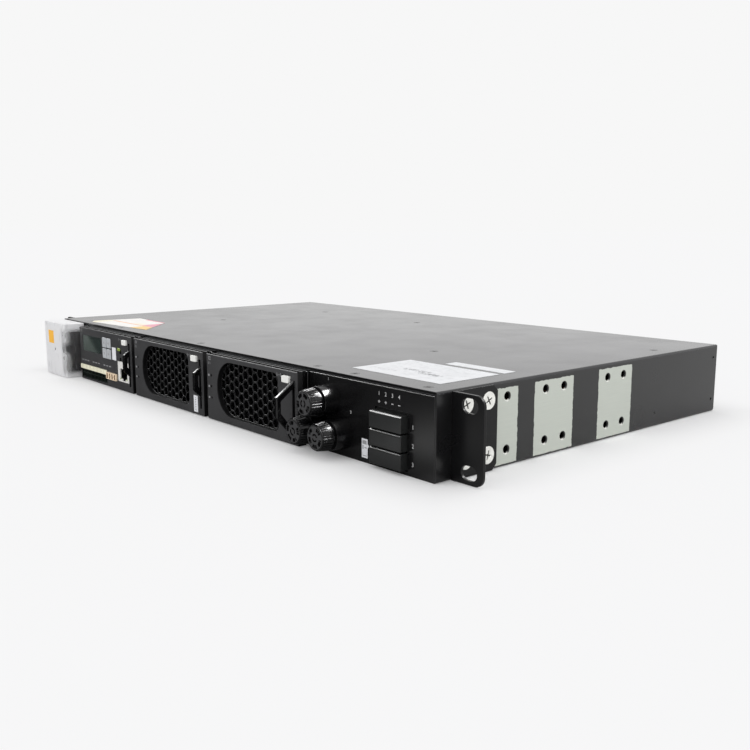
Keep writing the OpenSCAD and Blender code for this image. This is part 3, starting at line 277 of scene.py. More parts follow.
def powder_coat(name, level, roughness, shade, depth=0.006):
    finish = Finish(name, (shade, shade, shade * 1.08), roughness, level=level)
    finish.vary_colour(45 * MM, 0.12)
    finish.vary_roughness(30 * MM, 0.03)
    finish.grain(0.5 * MM, depth * MM)
    finish.wear_and_edge_highlight((0.09, 0.09, 0.095), 0.35 * MM, 0.5)
    return finish


def lid_paint():
    """Smooth coat on the lid, with painted deep shade down its front lip."""
    finish = powder_coat("lid_paint", 0.55, 0.17, 0.03, 0.0015)
    # painted shade: the lid's front lip, below its top, is painted near black
    below = finish.past("Z", TOP_Z - 0.25 * MM, TOP_Z - 0.35 * MM)
    lip = finish.past("Y", low("lid").y + 0.1 * MM, low("lid").y + 0.05 * MM)
    finish.layer(finish.maths("MULTIPLY", below, lip), (0.003, 0.003, 0.003, 1))
    return finish


def side_paint():
    """Powder coat with the masked, unpainted bands on the shelf's two sides; their countersinks carry a
    painted highlight and painted shade.
    """
    finish = powder_coat("side_paint", 0.5, 0.3, 0.008)
    ragged = finish.between(finish.noise(2.5 * MM), 0.3, 0.7, -0.25 * MM, 0.25 * MM)
    nearest = None
    for y0, y1, top in BARE_BANDS:
        band = finish.off_box({"Y": (y0 * MM, y1 * MM), "Z": (1.3 * MM, top * MM)}, ragged)
        nearest = band if nearest is None else finish.maths("MINIMUM", nearest, band)
    out = finish.maths("ABSOLUTE", finish.axis("X"))
    skin = finish.between(out, SIDE_X - (SKIN + 0.05) * MM, SIDE_X - (SKIN - 0.05) * MM)
    mask = finish.maths("MULTIPLY", finish.inside(nearest), skin)
    brushed = finish.noise(0.5 * MM, stretch=(1, 30, 1))
    steel = finish.mix(brushed, (0.5, 0.53, 0.48, 1), (0.57, 0.6, 0.54, 1))
    # painted light on the countersinks: a pale glint where they face up and back, near black shade
    # elsewhere
    lit = finish.facing((0, 0.5, 0.866), 0.15, 0.4)
    rim = finish.mix(lit, (0.02, 0.02, 0.02, 1), (0.75, 0.76, 0.7, 1))
    flat = finish.between(out, SIDE_X - (RIM_DEPTH + 0.02) * MM, SIDE_X - (RIM_DEPTH - 0.02) * MM)
    finish.layer(mask, finish.mix(flat, rim, steel), 0.62)
    return finish


def moulded(name, colour, roughness, level, edge_wear_and_highlight, size=0.35, depth=0.006):
    finish = Finish(name, colour, roughness, level=level)
    finish.vary_colour(25 * MM, 0.08)
    finish.vary_roughness(12 * MM, 0.04)
    finish.grain(size * MM, depth * MM)
    # paler worn edges, which also stand as painted edge highlights
    if edge_wear_and_highlight is not None:
        finish.wear_and_edge_highlight(edge_wear_and_highlight, 0.25 * MM, 0.35)
    return finish


def fan_front():
    """Grained near-black moulding; its grille is glossy, with painted shade on the recess walls and in the
    cells and painted highlights on the webs' upper edges.
    """
    finish = moulded("front_plastic", (0.052, 0.052, 0.054), 0.5, 0.3, EDGE_WEAR_AND_HIGHLIGHT, 0.5, 0.012)
    depth = finish.maths("SUBTRACT", finish.axis("Y"), FACE_Y)
    wall = finish.between(depth, 0.35 * MM, 0.6 * MM)
    web = finish.between(depth, (WEB_DEPTH - 0.1) * MM, (WEB_DEPTH - 0.05) * MM)
    cell = finish.between(depth, (WEB_DEPTH + 0.3) * MM, (WEB_DEPTH + 0.6) * MM)
    # painted shade: the recess walls and all behind them are painted near black
    finish.layer(wall, (0.006, 0.006, 0.0065, 1))
    finish.layer(web, (0.02, 0.02, 0.021, 1), 0.22)
    # painted highlight: web edges that face up, forward and left are painted pale
    rounded = finish.facing((-0.25, -0.5, 0.83), 0.55, 0.8)
    finish.layer(finish.maths("MULTIPLY", web, rounded), (0.6, 0.6, 0.6, 1))
    # painted shade: the cells behind the webs are painted black
    finish.layer(cell, (0.003, 0.003, 0.003, 1))
    # the top face loses its sheen, standing in for the shade of the lid above it
    top = high("controller_front").z
    flat = finish.past("Z", top - 0.06 * MM, top - 0.02 * MM)
    gloss = finish.maths("ADD", 0.3, finish.maths("MULTIPLY", web, 0.5))
    finish.give("Specular IOR Level", finish.between(flat, 0, 1, gloss, 0.0))
    return finish


def zinc_plate():
    finish = Finish("zinc_plate", (0.86, 0.86, 0.82), 0.42, metallic=0.45)
    finish.vary_colour(2.5 * MM, 0.08)
    finish.vary_roughness(1.5 * MM, 0.08)
    finish.grain(0.3 * MM, 0.004 * MM)
    finish.wear_and_edge_highlight((0.5, 0.49, 0.44), 0.2 * MM, 0.4)
    return finish


def sheet_metal(name, colour, roughness, brushed):
    finish = Finish(name, colour, roughness, metallic=0.85)
    finish.vary_colour(20 * MM, 0.06)
    finish.vary_roughness(0.6 * MM, 0.08, stretch=brushed)
    finish.grain(0.4 * MM, 0.003 * MM, stretch=brushed)
    finish.wear_and_edge_highlight((0.75, 0.75, 0.74), 0.3 * MM, 0.4)
    return finish


def circuit_green():
    """Solder mask over fine copper tracks."""
    finish = Finish("circuit_green", (0.012, 0.09, 0.035), 0.35)
    cells = {"Vector": finish.place, "Scale": 350}
    voronoi = finish.add("ShaderNodeTexVoronoi", cells, feature="DISTANCE_TO_EDGE", distance="MANHATTAN")
    track = finish.between(voronoi.outputs["Distance"], 0.02, 0.07, 1.0, 0.0)
    finish.layer(track, (0.03, 0.17, 0.06, 1), 0.3)
    finish.vary_colour(15 * MM, 0.1)
    finish.raise_by(track, 0.03 * MM)
    return finish


def frosted_clear():
    """Milky plastic that turns clear along the cover's right side."""
    finish = Finish("frosted_clear", (0.93, 0.93, 0.945), 0.34, level=0.4)
    lo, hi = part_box("ac_cover")
    clear = finish.off_box({"X": (hi.x - 5.5 * MM, hi.x + 5 * MM), "Z": (lo.z + 3 * MM, hi.z - 5 * MM)})
    clear = finish.inside(clear, 1.8 * MM)
    knot = finish.inside(finish.off_box({"Z": (21 * MM, 27 * MM)}), 2 * MM)
    back = finish.maths("ADD", finish.axis("Y"), finish.maths("MULTIPLY", knot, 4 * MM))
    fade = finish.between(back, lo.y + 0.5 * MM, lo.y + 6 * MM, 0.45, 1.0)
    clear = finish.maths("MULTIPLY", clear, fade)
    finish.give("Transmission Weight", finish.between(clear, 0, 1, 0.12, 0.95))
    finish.give("IOR", 1.45)
    finish.vary_colour(14 * MM, 0.02)
    smudge = finish.between(finish.noise(5 * MM, 4.0, (1, 1, 2.5)), 0.58, 0.7)
    finish.layer(finish.maths("MULTIPLY", smudge, 0.3), (0.45, 0.45, 0.47, 1))
    finish.vary_roughness(9 * MM, 0.05)
    finish.layer(clear, roughness=0.2)
    finish.grain(1.2 * MM, 0.004 * MM)
    return finish


def display_glass():
    """Dark grey-green window with a painted reflection that lightens it towards its lower left corner."""
    finish = Finish("display_glass", (0.02, 0.03, 0.027), 0.16, level=0.4)
    lo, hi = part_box("display")
    # painted reflection: lighter towards the lower left corner
    across = finish.maths("MULTIPLY", finish.past("X", lo.x, hi.x), 1.1)
    up = finish.maths("MULTIPLY", finish.past("Z", lo.z, hi.z), 0.55)
    pale = finish.between(finish.maths("ADD", across, up), 1.05, 0.65)
    finish.layer(pale, (0.075, 0.095, 0.085, 1))
    finish.vary_colour(6 * MM, 0.12)
    finish.raise_by(finish.noise(0.35 * MM, 1.0), 0.002 * MM)
    return finish


def key_caps():
    """Pale grey keys whose sides are painted dark as shade."""
    finish = moulded("key_plastic", (0.47, 0.49, 0.51), 0.5, 0.4, None)
    front = low("key_up").y
    # painted shade: the keys' sides behind their fronts are painted near black
    finish.layer(finish.past("Y", front + 0.4 * MM, front + 0.8 * MM), (0.03, 0.03, 0.032, 1))
    return finish


def signal_strip():
    """Cream strip along the top of a dark green connector."""
    finish = moulded("signal_cream", (0.95, 0.93, 0.72), 0.5, 0.4, (0.95, 0.94, 0.8))
    under = finish.past("Z", (CREAM_Z + 0.1) * MM, (CREAM_Z - 0.1) * MM)
    finish.layer(under, (0.008, 0.02, 0.012, 1))
    return finish


def jack_plastic():
    """White moulding whose hollow is painted black as shade."""
    finish = moulded("jack_plastic", (0.84, 0.83, 0.8), 0.4, 0.5, (0.9, 0.9, 0.88))
    front = low("network_jack").y
    # painted shade: the jack's hollow, behind its front, is painted black
    finish.layer(finish.past("Y", front + 0.7 * MM, front + 1.1 * MM), (0.004, 0.004, 0.004, 1))
    return finish


def paper(name, colour):
    finish = Finish(name, colour, 0.6, level=0.15)
    finish.vary_colour(8 * MM, 0.03)
    finish.vary_roughness(5 * MM, 0.05)
    finish.grain(0.25 * MM, 0.004 * MM)
    return finish


PRINT_ROWS = ((20, 40, 17, 21, 0.55), (36, 52, 13.5, 17, 0.7), (4, 24, 9, 11, 0.25))


def printed_label():
    """White label with faint generic smudges of print and a row of darker dashes."""
    finish = paper("printed_label", (0.84, 0.85, 0.87))
    lo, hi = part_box("lid_label")
    faint = finish.between(finish.noise(3.2 * MM, 5.0, (1, 0.6, 1)), 0.48, 0.62)
    body = finish.off_box({"X": (lo.x + 5 * MM, hi.x - 6 * MM), "Y": (lo.y + 5 * MM, hi.y - 7 * MM)})
    share = finish.between(finish.inside(body), 0, 1, 0, 0.16)
    finish.layer(finish.maths("MULTIPLY", faint, share), (0.3, 0.31, 0.33, 1))
    ink = finish.between(finish.noise(1.7 * MM), 0.44, 0.5)
    for x0, x1, y0, y1, amount in PRINT_ROWS:
        mark = finish.maths("MULTIPLY", ink, finish.inside(finish.off_patch(lo, x0, x1, y0, y1)))
        finish.layer(finish.maths("MULTIPLY", mark, amount), (0.12, 0.12, 0.13, 1))
    return finish


STICKER_BANDS = (
    (0, 12, 0, 17, (0.95, 0.9, 0.72, 1)),
    (9, 80, 16.2, 18.4, (0.93, 0.56, 0.36, 1)),
    (64, 90, -1, 16.2, (0.95, 0.68, 0.3, 1)),
    (40, 80, 18.4, 24, (0.95, 0.9, 0.76, 1)),
    (22, 90, 38.2, 45, (0.88, 0.3, 0.38, 1)),
    (57, 90, 18.4, 45, (0.88, 0.42, 0.5, 1)),
)


def banded_sticker():
    """Two pale stickers, one behind the other, with orange and pink borders and no words."""
    finish = paper("banded_sticker", (0.94, 0.92, 0.89))
    for x0, x1, y0, y1, colour in STICKER_BANDS:
        patch = finish.off_patch(low("lid_stickers"), x0, x1, y0, y1)
        finish.layer(finish.inside(patch, 0.5 * MM), colour)
    return finish


# ---- plain finishes, as rows of what their makers take ----

COATS = (
    ("panel_paint", 0.55, 0.24, 0.005, 0.003),
    ("ear_paint", 0.22, 0.3, 0.006),
    ("inner_paint", 0.2, 0.5, 0.01),
)

MOULDINGS = (
    ("handle_plastic", (0.0025, 0.0025, 0.003), 0.24, 0.5, EDGE_WEAR_AND_HIGHLIGHT),
    ("fuse_gloss", (0.004, 0.004, 0.0045), 0.2, 0.5, None),
    ("fuse_face", (0.05, 0.05, 0.052), 0.6, 0.3, EDGE_WEAR_AND_HIGHLIGHT, 0.3, 0.02),
    # painted shade for the sunk marks on the fuse caps' faces
    ("fuse_recess", (0.003, 0.003, 0.003), 0.6, 0.05, None),
    ("plug_plastic", (0.016, 0.017, 0.017), 0.32, 0.45, EDGE_WEAR_AND_HIGHLIGHT),
    ("pale_plastic", (0.9, 0.9, 0.87), 0.4, 0.5, (0.94, 0.94, 0.92)),
    ("relay_cream", (0.88, 0.7, 0.5), 0.5, 0.4, (0.92, 0.8, 0.66)),
    ("relay_brown", (0.2, 0.11, 0.05), 0.6, 0.3, None),
    ("fan_plastic", (0.014, 0.014, 0.016), 0.45, 0.4, EDGE_WEAR_AND_HIGHLIGHT),
    ("socket_plastic", (0.55, 0.52, 0.43), 0.5, 0.5, EDGE_WEAR_AND_HIGHLIGHT),
    ("block_plastic", (0.012, 0.012, 0.014), 0.5, 0.4, EDGE_WEAR_AND_HIGHLIGHT),
    ("black_screw", (0.012, 0.012, 0.013), 0.3, 0.5, EDGE_WEAR_AND_HIGHLIGHT),
    # painted shade in openings and in the cover screws' cross recesses
    ("hole_black", (0.002, 0.002, 0.002), 0.7, 0.05, None),
    # painted shade at the bottom of the ear screws' cross recesses
    ("recess_grey", (0.05, 0.05, 0.045), 0.6, 0.2, None),
    ("mark_grey", (0.33, 0.33, 0.34), 0.6, 0.3, None),
    ("mark_white", (0.62, 0.62, 0.62), 0.6, 0.3, None),
    ("lamp_green", (0.32, 0.42, 0.09), 0.25, 0.5, None),
)

METALS = (
    ("gold_pins", (0.75, 0.5, 0.18), 0.3, (1, 8, 1)),
    ("case_steel", (0.42, 0.43, 0.44), 0.42, (1, 12, 1)),
    ("copper", (0.72, 0.3, 0.16), 0.35, (1, 12, 1)),
    ("fin_metal", (0.55, 0.56, 0.57), 0.4, (1, 1, 10)),
)

PAPERS = (("label_white", (0.8, 0.81, 0.84)), ("label_orange", (0.95, 0.5, 0.06)))


def make_finishes():
    """All materials by name."""
    made = []
    for make, rows in ((powder_coat, COATS), (moulded, MOULDINGS), (sheet_metal, METALS), (paper, PAPERS)):
        made += [make(*row) for row in rows]
    made += [lid_paint(), side_paint(), fan_front(), key_caps(), signal_strip(), jack_plastic()]
    made += [zinc_plate(), circuit_green(), frosted_clear(), display_glass()]
    made += [printed_label(), banded_sticker()]
    return {finish.name: finish.material for finish in made}


# ---- pieces ----


def add_piece(name, mesh, materials):
    mesh.name = name
    numbers = [face.material_index for face in mesh.polygons]
    mesh.materials.clear()
    for material in materials:
        mesh.materials.append(material)
    mesh.polygons.foreach_set("material_index", numbers)
    return place_object(name, mesh)


def settle(piece, body, slot, *nodes):
    """Makes a finished piece ride on its body and stand for its CAD nodes."""
    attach(piece, body)
    if nodes:
        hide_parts(*nodes)


def add_detail(name, mesh, material, body, slot):
    """A small finished piece in one material."""
    settle(add_piece(name, mesh, [material]), body, slot)


def smooth(mesh, angle):
    mesh.shade_smooth()
    mesh.set_sharp_from_angle(angle=math.radians(angle))


def merged(node):
    """A CAD node's mesh as clean faces."""
    shape = bmesh.new()
    shape.from_mesh(NODES[node].data)
    bmesh.ops.remove_doubles(shape, verts=shape.verts, dist=2e-6)
    flat = {"verts": shape.verts, "edges": shape.edges, "use_dissolve_boundaries": False}
    bmesh.ops.dissolve_limit(shape, angle_limit=math.radians(0.6), **flat)
    mesh = bpy.data.meshes.new(node)
    shape.to_mesh(mesh)
    shape.free()
    return mesh


def weigh_rim(mesh, node):
    """Marks the edges round a front's outline, so that only these are rounded."""
    lo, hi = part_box(node)
    weights = mesh.attributes.new("bevel_weight_edge", "FLOAT", "EDGE")
    for edge in mesh.edges:
        a, b = [mesh.vertices[k].co for k in edge.vertices]
        for axis in "xz":
            for limit in (getattr(lo, axis), getattr(hi, axis)):
                if max(abs(getattr(a, axis) - limit), abs(getattr(b, axis) - limit)) < 0.01 * MM:
                    weights.data[edge.index].value = 1.0


def soften(node, material, slot, width, segments=2, rim=False):
    """The CAD node's form with small rounded edges."""
    mesh = merged(node)
    if rim:
        weigh_rim(mesh, node)
    piece = add_piece(node + "_skin", mesh, [material])
    smooth(mesh, 30)
    bevel = piece.modifiers.new("rounded_edges", "BEVEL")
    bevel.width = width * MM
    bevel.segments = segments
    bevel.limit_method = "WEIGHT" if rim else "ANGLE"
    bevel.angle_limit = math.radians(40)
    bevel.miter_outer = "MITER_ARC"
    even = piece.modifiers.new("even_shading", "WEIGHTED_NORMAL")
    even.mode = "FACE_AREA"
    even.keep_sharp = True
    settle(piece, NODES[node]["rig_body"], slot, node)


def dress(node, material):
    """Keeps the CAD node and gives it its finish."""
    mesh = NODES[node].data
    mesh.materials.clear()
    mesh.materials.append(material)


def mesh_of(parts):
    """One mesh from several (points, faces, material number) parts."""
    points = []
    faces = []
    numbers = []
    for more, rings, number in parts:
        start = len(points)
        points += more
        faces += [[start + k for k in ring] for ring in rings]
        numbers += [number] * len(rings)
    mesh = bpy.data.meshes.new("part")
    mesh.from_pydata([tuple(p) for p in points], [], faces)
    mesh.polygons.foreach_set("material_index", numbers)
    mesh.update()
    return mesh


def slab(x0, x1, y0, y1, z0, z1, number=0, cut=0.0):
    """A block whose front edges are chamfered by cut, in millimetres."""
    rings = [(cut, y0), (0, y0 + cut), (0, y1)] if cut else [(0, y0), (0, y1)]
    points = []
    for inset, y in rings:
        a, b, c, d = x0 + inset, x1 - inset, z0 + inset, z1 - inset
        points += [Vector(p) * MM for p in ((a, y, c), (b, y, c), (b, y, d), (a, y, d))]
    faces = [[0, 1, 2, 3]]
    for r in range(len(rings) - 1):
        a = 4 * r
        for k in range(4):
            n = (k + 1) % 4
            faces.append([a + k, a + 4 + k, a + 4 + n, a + n])
    last = 4 * (len(rings) - 1)
    faces.append([last + 3, last + 2, last + 1, last])
    return points, faces, number


def plate(outline, y0, y1):
    """A flat plate between two depths, from its outline's (x, z) points in millimetres."""
    count = len(outline)
    points = [Vector((x, y, z)) * MM for y in (y0, y1) for x, z in outline]
    faces = [list(range(count)), [count + k for k in reversed(range(count))]]
    faces += [[k, count + k, count + (k + 1) % count, (k + 1) % count] for k in range(count)]
    return points, faces, 0


def turned(profile, sectors, centre, relief):
    """A form turned about Y from (radius, y) pairs, front first; relief(x, z) sinks the front."""
    points = []
    faces = []
    for radius, y in profile:
        for s in range(sectors):
            angle = 2 * math.pi * s / sectors
            x = radius * math.cos(angle)
            z = radius * math.sin(angle)
            sink = relief(x, z) if y <= profile[0][1] + 0.01 else 0
            points.append(Vector((centre[0] + x, centre[1] + y + sink, centre[2] + z)) * MM)
    for r in range(len(profile) - 1):
        a = r * sectors
        for s in range(sectors):
            n = (s + 1) % sectors
            faces.append([a + s, a + sectors + s, a + sectors + n, a + n])
    faces.append(list(range(sectors)))
    last = (len(profile) - 1) * sectors
    faces.append([last + s for s in reversed(range(sectors))])
    return points, faces, 0


def outward(mesh):
    shape = bmesh.new()
    shape.from_mesh(mesh)
    bmesh.ops.remove_doubles(shape, verts=shape.verts, dist=1e-7)
    bmesh.ops.recalc_face_normals(shape, faces=shape.faces)
    shape.to_mesh(mesh)
    shape.free()


FONT_SCALE = 1.42


def numeral(text, size, x, y, z):
    """A plain number as a mesh on a front, with its lower left corner at x, z."""
    curve = bpy.data.curves.new("numeral", "FONT")
    curve.body = text
    curve.size = size * MM * FONT_SCALE
    curve.resolution_u = 3
    curve.extrude = 0.01 * MM
    holder = place_object("numeral", curve)
    made = plain_mesh(holder)
    bpy.data.objects.remove(holder)
    turn = Matrix.Rotation(math.radians(90), 4, "X")
    made.transform(Matrix.Translation(Vector((x, y, z)) * MM) @ turn)
    points = [v.co.copy() for v in made.vertices]
    faces = [list(p.vertices) for p in made.polygons]
    bpy.data.meshes.remove(made)
    return points, faces, 0


# ---- repeated parts ----


def start_tree(name, sizes):
    """A tree that takes a part to repeat, its material and more named inputs."""
    tree = bpy.data.node_groups.new(name, "GeometryNodeTree")
    tree.interface.new_socket("Geometry", in_out="OUTPUT", socket_type="NodeSocketGeometry")
    keys = {}
    for label, kind in {"Part": "Object", "Material": "Material", **sizes}.items():
        socket = tree.interface.new_socket(label, in_out="INPUT", socket_type="NodeSocket" + kind)
        keys[label] = socket.identifier
    given = tree.nodes.new("NodeGroupInput").outputs
    part = add_node(tree, "GeometryNodeObjectInfo", {"Object": given["Part"]}).outputs["Geometry"]
    return tree, keys, given, part


def finish_tree(tree, given, made):
    """Turns instances into real faces and gives them their material."""
    real = add_node(tree, "GeometryNodeRealizeInstances", {0: made}).outputs[0]
    coat = add_node(tree, "GeometryNodeSetMaterial", {"Geometry": real, "Material": given["Material"]})
    add_node(tree, "NodeGroupOutput", {0: coat.outputs[0]})


def ring_tree():
    """Copies of a part round the Y axis."""
    tree, keys, given, part = start_tree("ring_of_parts", {"Count": "Int", "Radius": "Float"})
    circle = {"Vertices": given["Count"], "Radius": given["Radius"]}
    ring = add_node(tree, "GeometryNodeMeshCircle", circle).outputs[0]
    number = add_node(tree, "GeometryNodeInputIndex").outputs[0]
    whole = {0: 2 * math.pi, 1: given["Count"]}
    step = add_node(tree, "ShaderNodeMath", whole, operation="DIVIDE").outputs[0]
    turn = add_node(tree, "ShaderNodeMath", {0: number, 1: step}, operation="MULTIPLY").outputs[0]
    spin = add_node(tree, "ShaderNodeCombineXYZ", {"Z": turn}).outputs[0]
    placed = {"Points": ring, "Instance": part, "Rotation": spin}
    copies = add_node(tree, "GeometryNodeInstanceOnPoints", placed).outputs[0]
    upright = {"Geometry": copies, "Rotation": (math.radians(90), 0, 0)}
    finish_tree(tree, given, add_node(tree, "GeometryNodeTransform", upright).outputs[0])
    return tree, keys


def field_tree():
    """Copies of a part in columns along X and rows along Z, from one corner."""
    sizes = {"Columns": "Int", "Rows": "Int", "Pitch": "Float", "Rise": "Float"}
    tree, keys, given, part = start_tree("field_of_parts", sizes)
    for count, gap, letter in (("Columns", "Pitch", "X"), ("Rows", "Rise", "Z")):
        offset = add_node(tree, "ShaderNodeCombineXYZ", {letter: given[gap]}).outputs[0]
        line = add_node(tree, "GeometryNodeMeshLine", {"Count": given[count], "Offset": offset}).outputs[0]
        part = add_node(tree, "GeometryNodeInstanceOnPoints", {"Points": line, "Instance": part}).outputs[0]
    finish_tree(tree, given, part)
    return tree, keys


def held_vector(tree, name):
    """A vector that each point holds under this name."""
    kind = "GeometryNodeInputNamedAttribute"
    return add_node(tree, kind, {"Name": name}, data_type="FLOAT_VECTOR").outputs["Attribute"]


def screw_tree():
    """Copies of a part at the points of a mesh, turned to the direction that each point holds."""
    tree, keys, given, part = start_tree("parts_at_points", {"Points": "Object"})
    where = add_node(tree, "GeometryNodeObjectInfo", {"Object": given["Points"]}).outputs["Geometry"]
    facing = {"Vector": held_vector(tree, "facing")}
    aim = add_node(tree, "FunctionNodeAlignRotationToVector", facing, axis="Y").outputs[0]
    twist = add_node(tree, "FunctionNodeEulerToRotation", {0: held_vector(tree, "turn")}).outputs[0]
    both = {"Rotation": aim, "Rotate By": twist}
    spin = add_node(tree, "FunctionNodeRotateRotation", both, rotation_space="LOCAL").outputs[0]
    copies = {"Points": where, "Instance": part, "Rotation": spin}
    finish_tree(tree, given, add_node(tree, "GeometryNodeInstanceOnPoints", copies).outputs[0])
    return tree, keys


def grown(tree_and_keys, values):
    """The plain mesh that a tree makes from these named values."""
    tree, keys = tree_and_keys
    seed = place_object("seed", bpy.data.meshes.new("seed"))
    modifier = seed.modifiers.new("tree", "NODES")
    modifier.node_group = tree
    for name, value in values.items():
        modifier[keys[name]] = value
    mesh = plain_mesh(seed)
    seed.modifiers.remove(modifier)
    bpy.data.objects.remove(seed)
    return mesh


def pattern_part(parts):
    """A single part for the trees to repeat."""
    mesh = mesh_of(parts)
    outward(mesh)
    return place_object("pattern", mesh)


def done_with(*holders):
    for holder in holders:
        bpy.data.objects.remove(holder)


def field_of(tree, block, material, counts, steps, corner):
    """Copies of one small block in columns and rows from a corner."""
    pattern = pattern_part([block])
    values = {"Part": pattern, "Material": material}
    values.update({"Columns": counts[0], "Rows": counts[1], "Pitch": steps[0], "Rise": steps[1]})
    mesh = grown(tree, values)
    done_with(pattern)
    mesh.transform(Matrix.Translation(corner))
    return mesh


# ---- screws ----

CROSS_ARM = ((0.1, -0.12), (1.0, -0.1), (1.0, 0.1), (0.1, 0.12))
FACE_RINGS = 24
SECTORS = 88


def cross_recess(reach, half):
    """How deep a cross recess is at x, z."""

    def depth(x, z):
        wide, narrow = max(abs(x), abs(z)), min(abs(x), abs(z))
        if wide > reach or narrow > half * (1.25 - 0.5 * wide / reach):
            return 0.0
        return 0.75 * (1 - 0.55 * wide / reach)

    return depth


def screw_part(head_r, head_t, shank_r, length):
    """A countersunk screw that points along +Y, with its head's face at Y 0."""
    face = [(head_r * k / FACE_RINGS, 0.0) for k in range(1, FACE_RINGS)]
    rest = [(head_r * 0.985, 0.0), (head_r, 0.12), (shank_r, head_t), (shank_r, length)]
    recess = cross_recess(head_r * 0.54, head_r * 0.075)
    return pattern_part([turned(face + rest, SECTORS, (0, 0, 0), recess)])


def cross_part(reach):
    """A dark plate a little below a head's face, painted shade at the bottom of a cross recess."""
    arms = []
    for a, b in ((1, 0), (0, 1), (-1, 0), (0, -1)):
        arm = [(reach * (a * u - b * v), reach * (b * u + a * v)) for u, v in CROSS_ARM]
        arms.append(plate(arm, 0.09, 0.5))
    arms.append(slab(-0.18 * reach, 0.18 * reach, 0.08, 0.5, -0.18 * reach, 0.18 * reach))
    return pattern_part(arms)


def screws(name, node, part, places, material, slot, tree):
    """One part at each place, from (point, direction, turn)."""
    points = bpy.data.meshes.new("places")
    points.from_pydata([Vector(p) * MM for p, way, turn in places], [], [])
    held = {"facing": [way for p, way, turn in places], "turn": [(0, turn, 0) for p, way, turn in places]}
    for label, values in held.items():
        attribute = points.attributes.new(label, "FLOAT_VECTOR", "POINT")
        attribute.data.foreach_set("vector", [c for v in values for c in v])
    holder = place_object("places", points)
    mesh = grown(tree, {"Part": part, "Points": holder, "Material": material})
    done_with(holder)
    smooth(mesh, 30)
    settle(add_piece(name, mesh, [material]), "shelf", slot, *([node] if node else []))


def clusters(node):
    """The low and high corners of a node's separate screws, in millimetres."""
    shape = bmesh.new()
    shape.from_mesh(NODES[node].data)
    bmesh.ops.remove_doubles(shape, verts=shape.verts, dist=2e-6)
    left = set(shape.verts)
    found = []
    while left:
        group = []
        queue = [left.pop()]
        while queue:
            vertex = queue.pop()
            group.append(vertex.co.copy())
            for edge in vertex.link_edges:
                other = edge.other_vert(vertex)
                if other in left:
                    left.remove(other)
                    queue.append(other)
        lo = Vector([min(p[k] for p in group) for k in range(3)])
        hi = Vector([max(p[k] for p in group) for k in range(3)])
        found.append((lo / MM, hi / MM))
    shape.free()
    return sorted(found, key=lambda pair: tuple(pair[0]))


def side_place(lo, hi, turn):
    """The place of a screw in the shelf's side, from the box round it."""
    middle = (lo + hi) / 2
    side = 1 if middle.x > 0 else -1
    return (hi.x if side > 0 else lo.x, middle.y, middle.z), (-side, 0, 0), turn


def make_ear_screws(made, tree):
    """Zinc screws through the ears into the sides."""
    found = clusters("ear_screws")
    places = [side_place(lo, hi, 0.15 * (lo + hi).y + 0.45 * (lo + hi).z) for lo, hi in found]
    size = found[0][1] - found[0][0]
    part = screw_part(size.z / 2, 1.4, 1.85, size.x)
    screws("ear_screw_set", "ear_screws", part, places, made["zinc_plate"], "zinc", tree)
    # dark plates in the cross recesses, as painted shade
    cross = cross_part(size.z * 0.27)
    screws("ear_screw_recesses", None, cross, places, made["recess_grey"], "black_screw", tree)
    done_with(part, cross)


def make_cover_screws(made, tree):
    """Small black screws in the lid and the sides."""
    places = []
    for lo, hi in clusters("cover_screws"):
        if hi.z > TOP_Z / MM - 0.1:
            middle = (lo + hi) / 2
            places.append(((middle.x, middle.y, hi.z), (0, 0, -1), 0.37 * middle.x))
            head_r = (hi.x - lo.x) / 2
            length = hi.z - lo.z
        else:
            places.append(side_place(lo, hi, 0.5))
    part = screw_part(head_r, 0.8, 0.9, length)
    screws("cover_screw_set", "cover_screws", part, places, made["black_screw"], "black_screw", tree)
    # dark plates in the cross recesses, as painted shade
    cross = cross_part(head_r * 0.55)
    screws("cover_screw_recesses", None, cross, places, made["hole_black"], "black_screw", tree)
    done_with(part, cross)


# ---- fuses ----

CAP_SECTORS = 144
CAP_TAPER = 0.9
GRIP = 6.7
RIB_COUNT = 32
RELIEF_DEPTH = 0.5
RELIEF_GROUPS = (22, 84, 150, 212, 290)


def fuse_relief(radius, first):
    """Moulded groups of short bars round a broken ring."""

    def depth(x, z):
        r = math.hypot(x, z)
        angle = (math.degrees(math.atan2(z, x)) - first) % 360
        if 0.2 * radius < r < 0.31 * radius and not (30 < angle < 75 or 210 < angle < 250):
            return RELIEF_DEPTH
        if 0.53 * radius < r < 0.84 * radius:
            for middle in RELIEF_GROUPS:
                away = abs(angle - middle)
                if away < 21 and away % 8 < 5:
                    return RELIEF_DEPTH
        return 0.0

    return depth


def cap_body(node, number):
    """The turned form of a cap: a slightly conical grip, a groove and the stem."""
    lo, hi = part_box(node)
    centre = (lo + hi) / 2 / MM
    back = (hi.x - lo.x) / 2 / MM - 0.42
    front = back - CAP_TAPER
    face = [(front * k / 36, 0.0) for k in range(1, 34)]
    side = [(front * 0.95, 0.0), (front * 0.98, 0.1), (front + 0.03, 0.4), (back, GRIP), (back - 0.25, 6.8)]
    stem = [(6.8, 6.8), (6.8, 8.3), (4.6, 8.3), (4.6, (hi.y - lo.y) / MM)]
    middle = (centre.x, lo.y / MM, centre.z)
    return turned(face + side + stem, CAP_SECTORS, middle, fuse_relief(front, 40 * number)), front


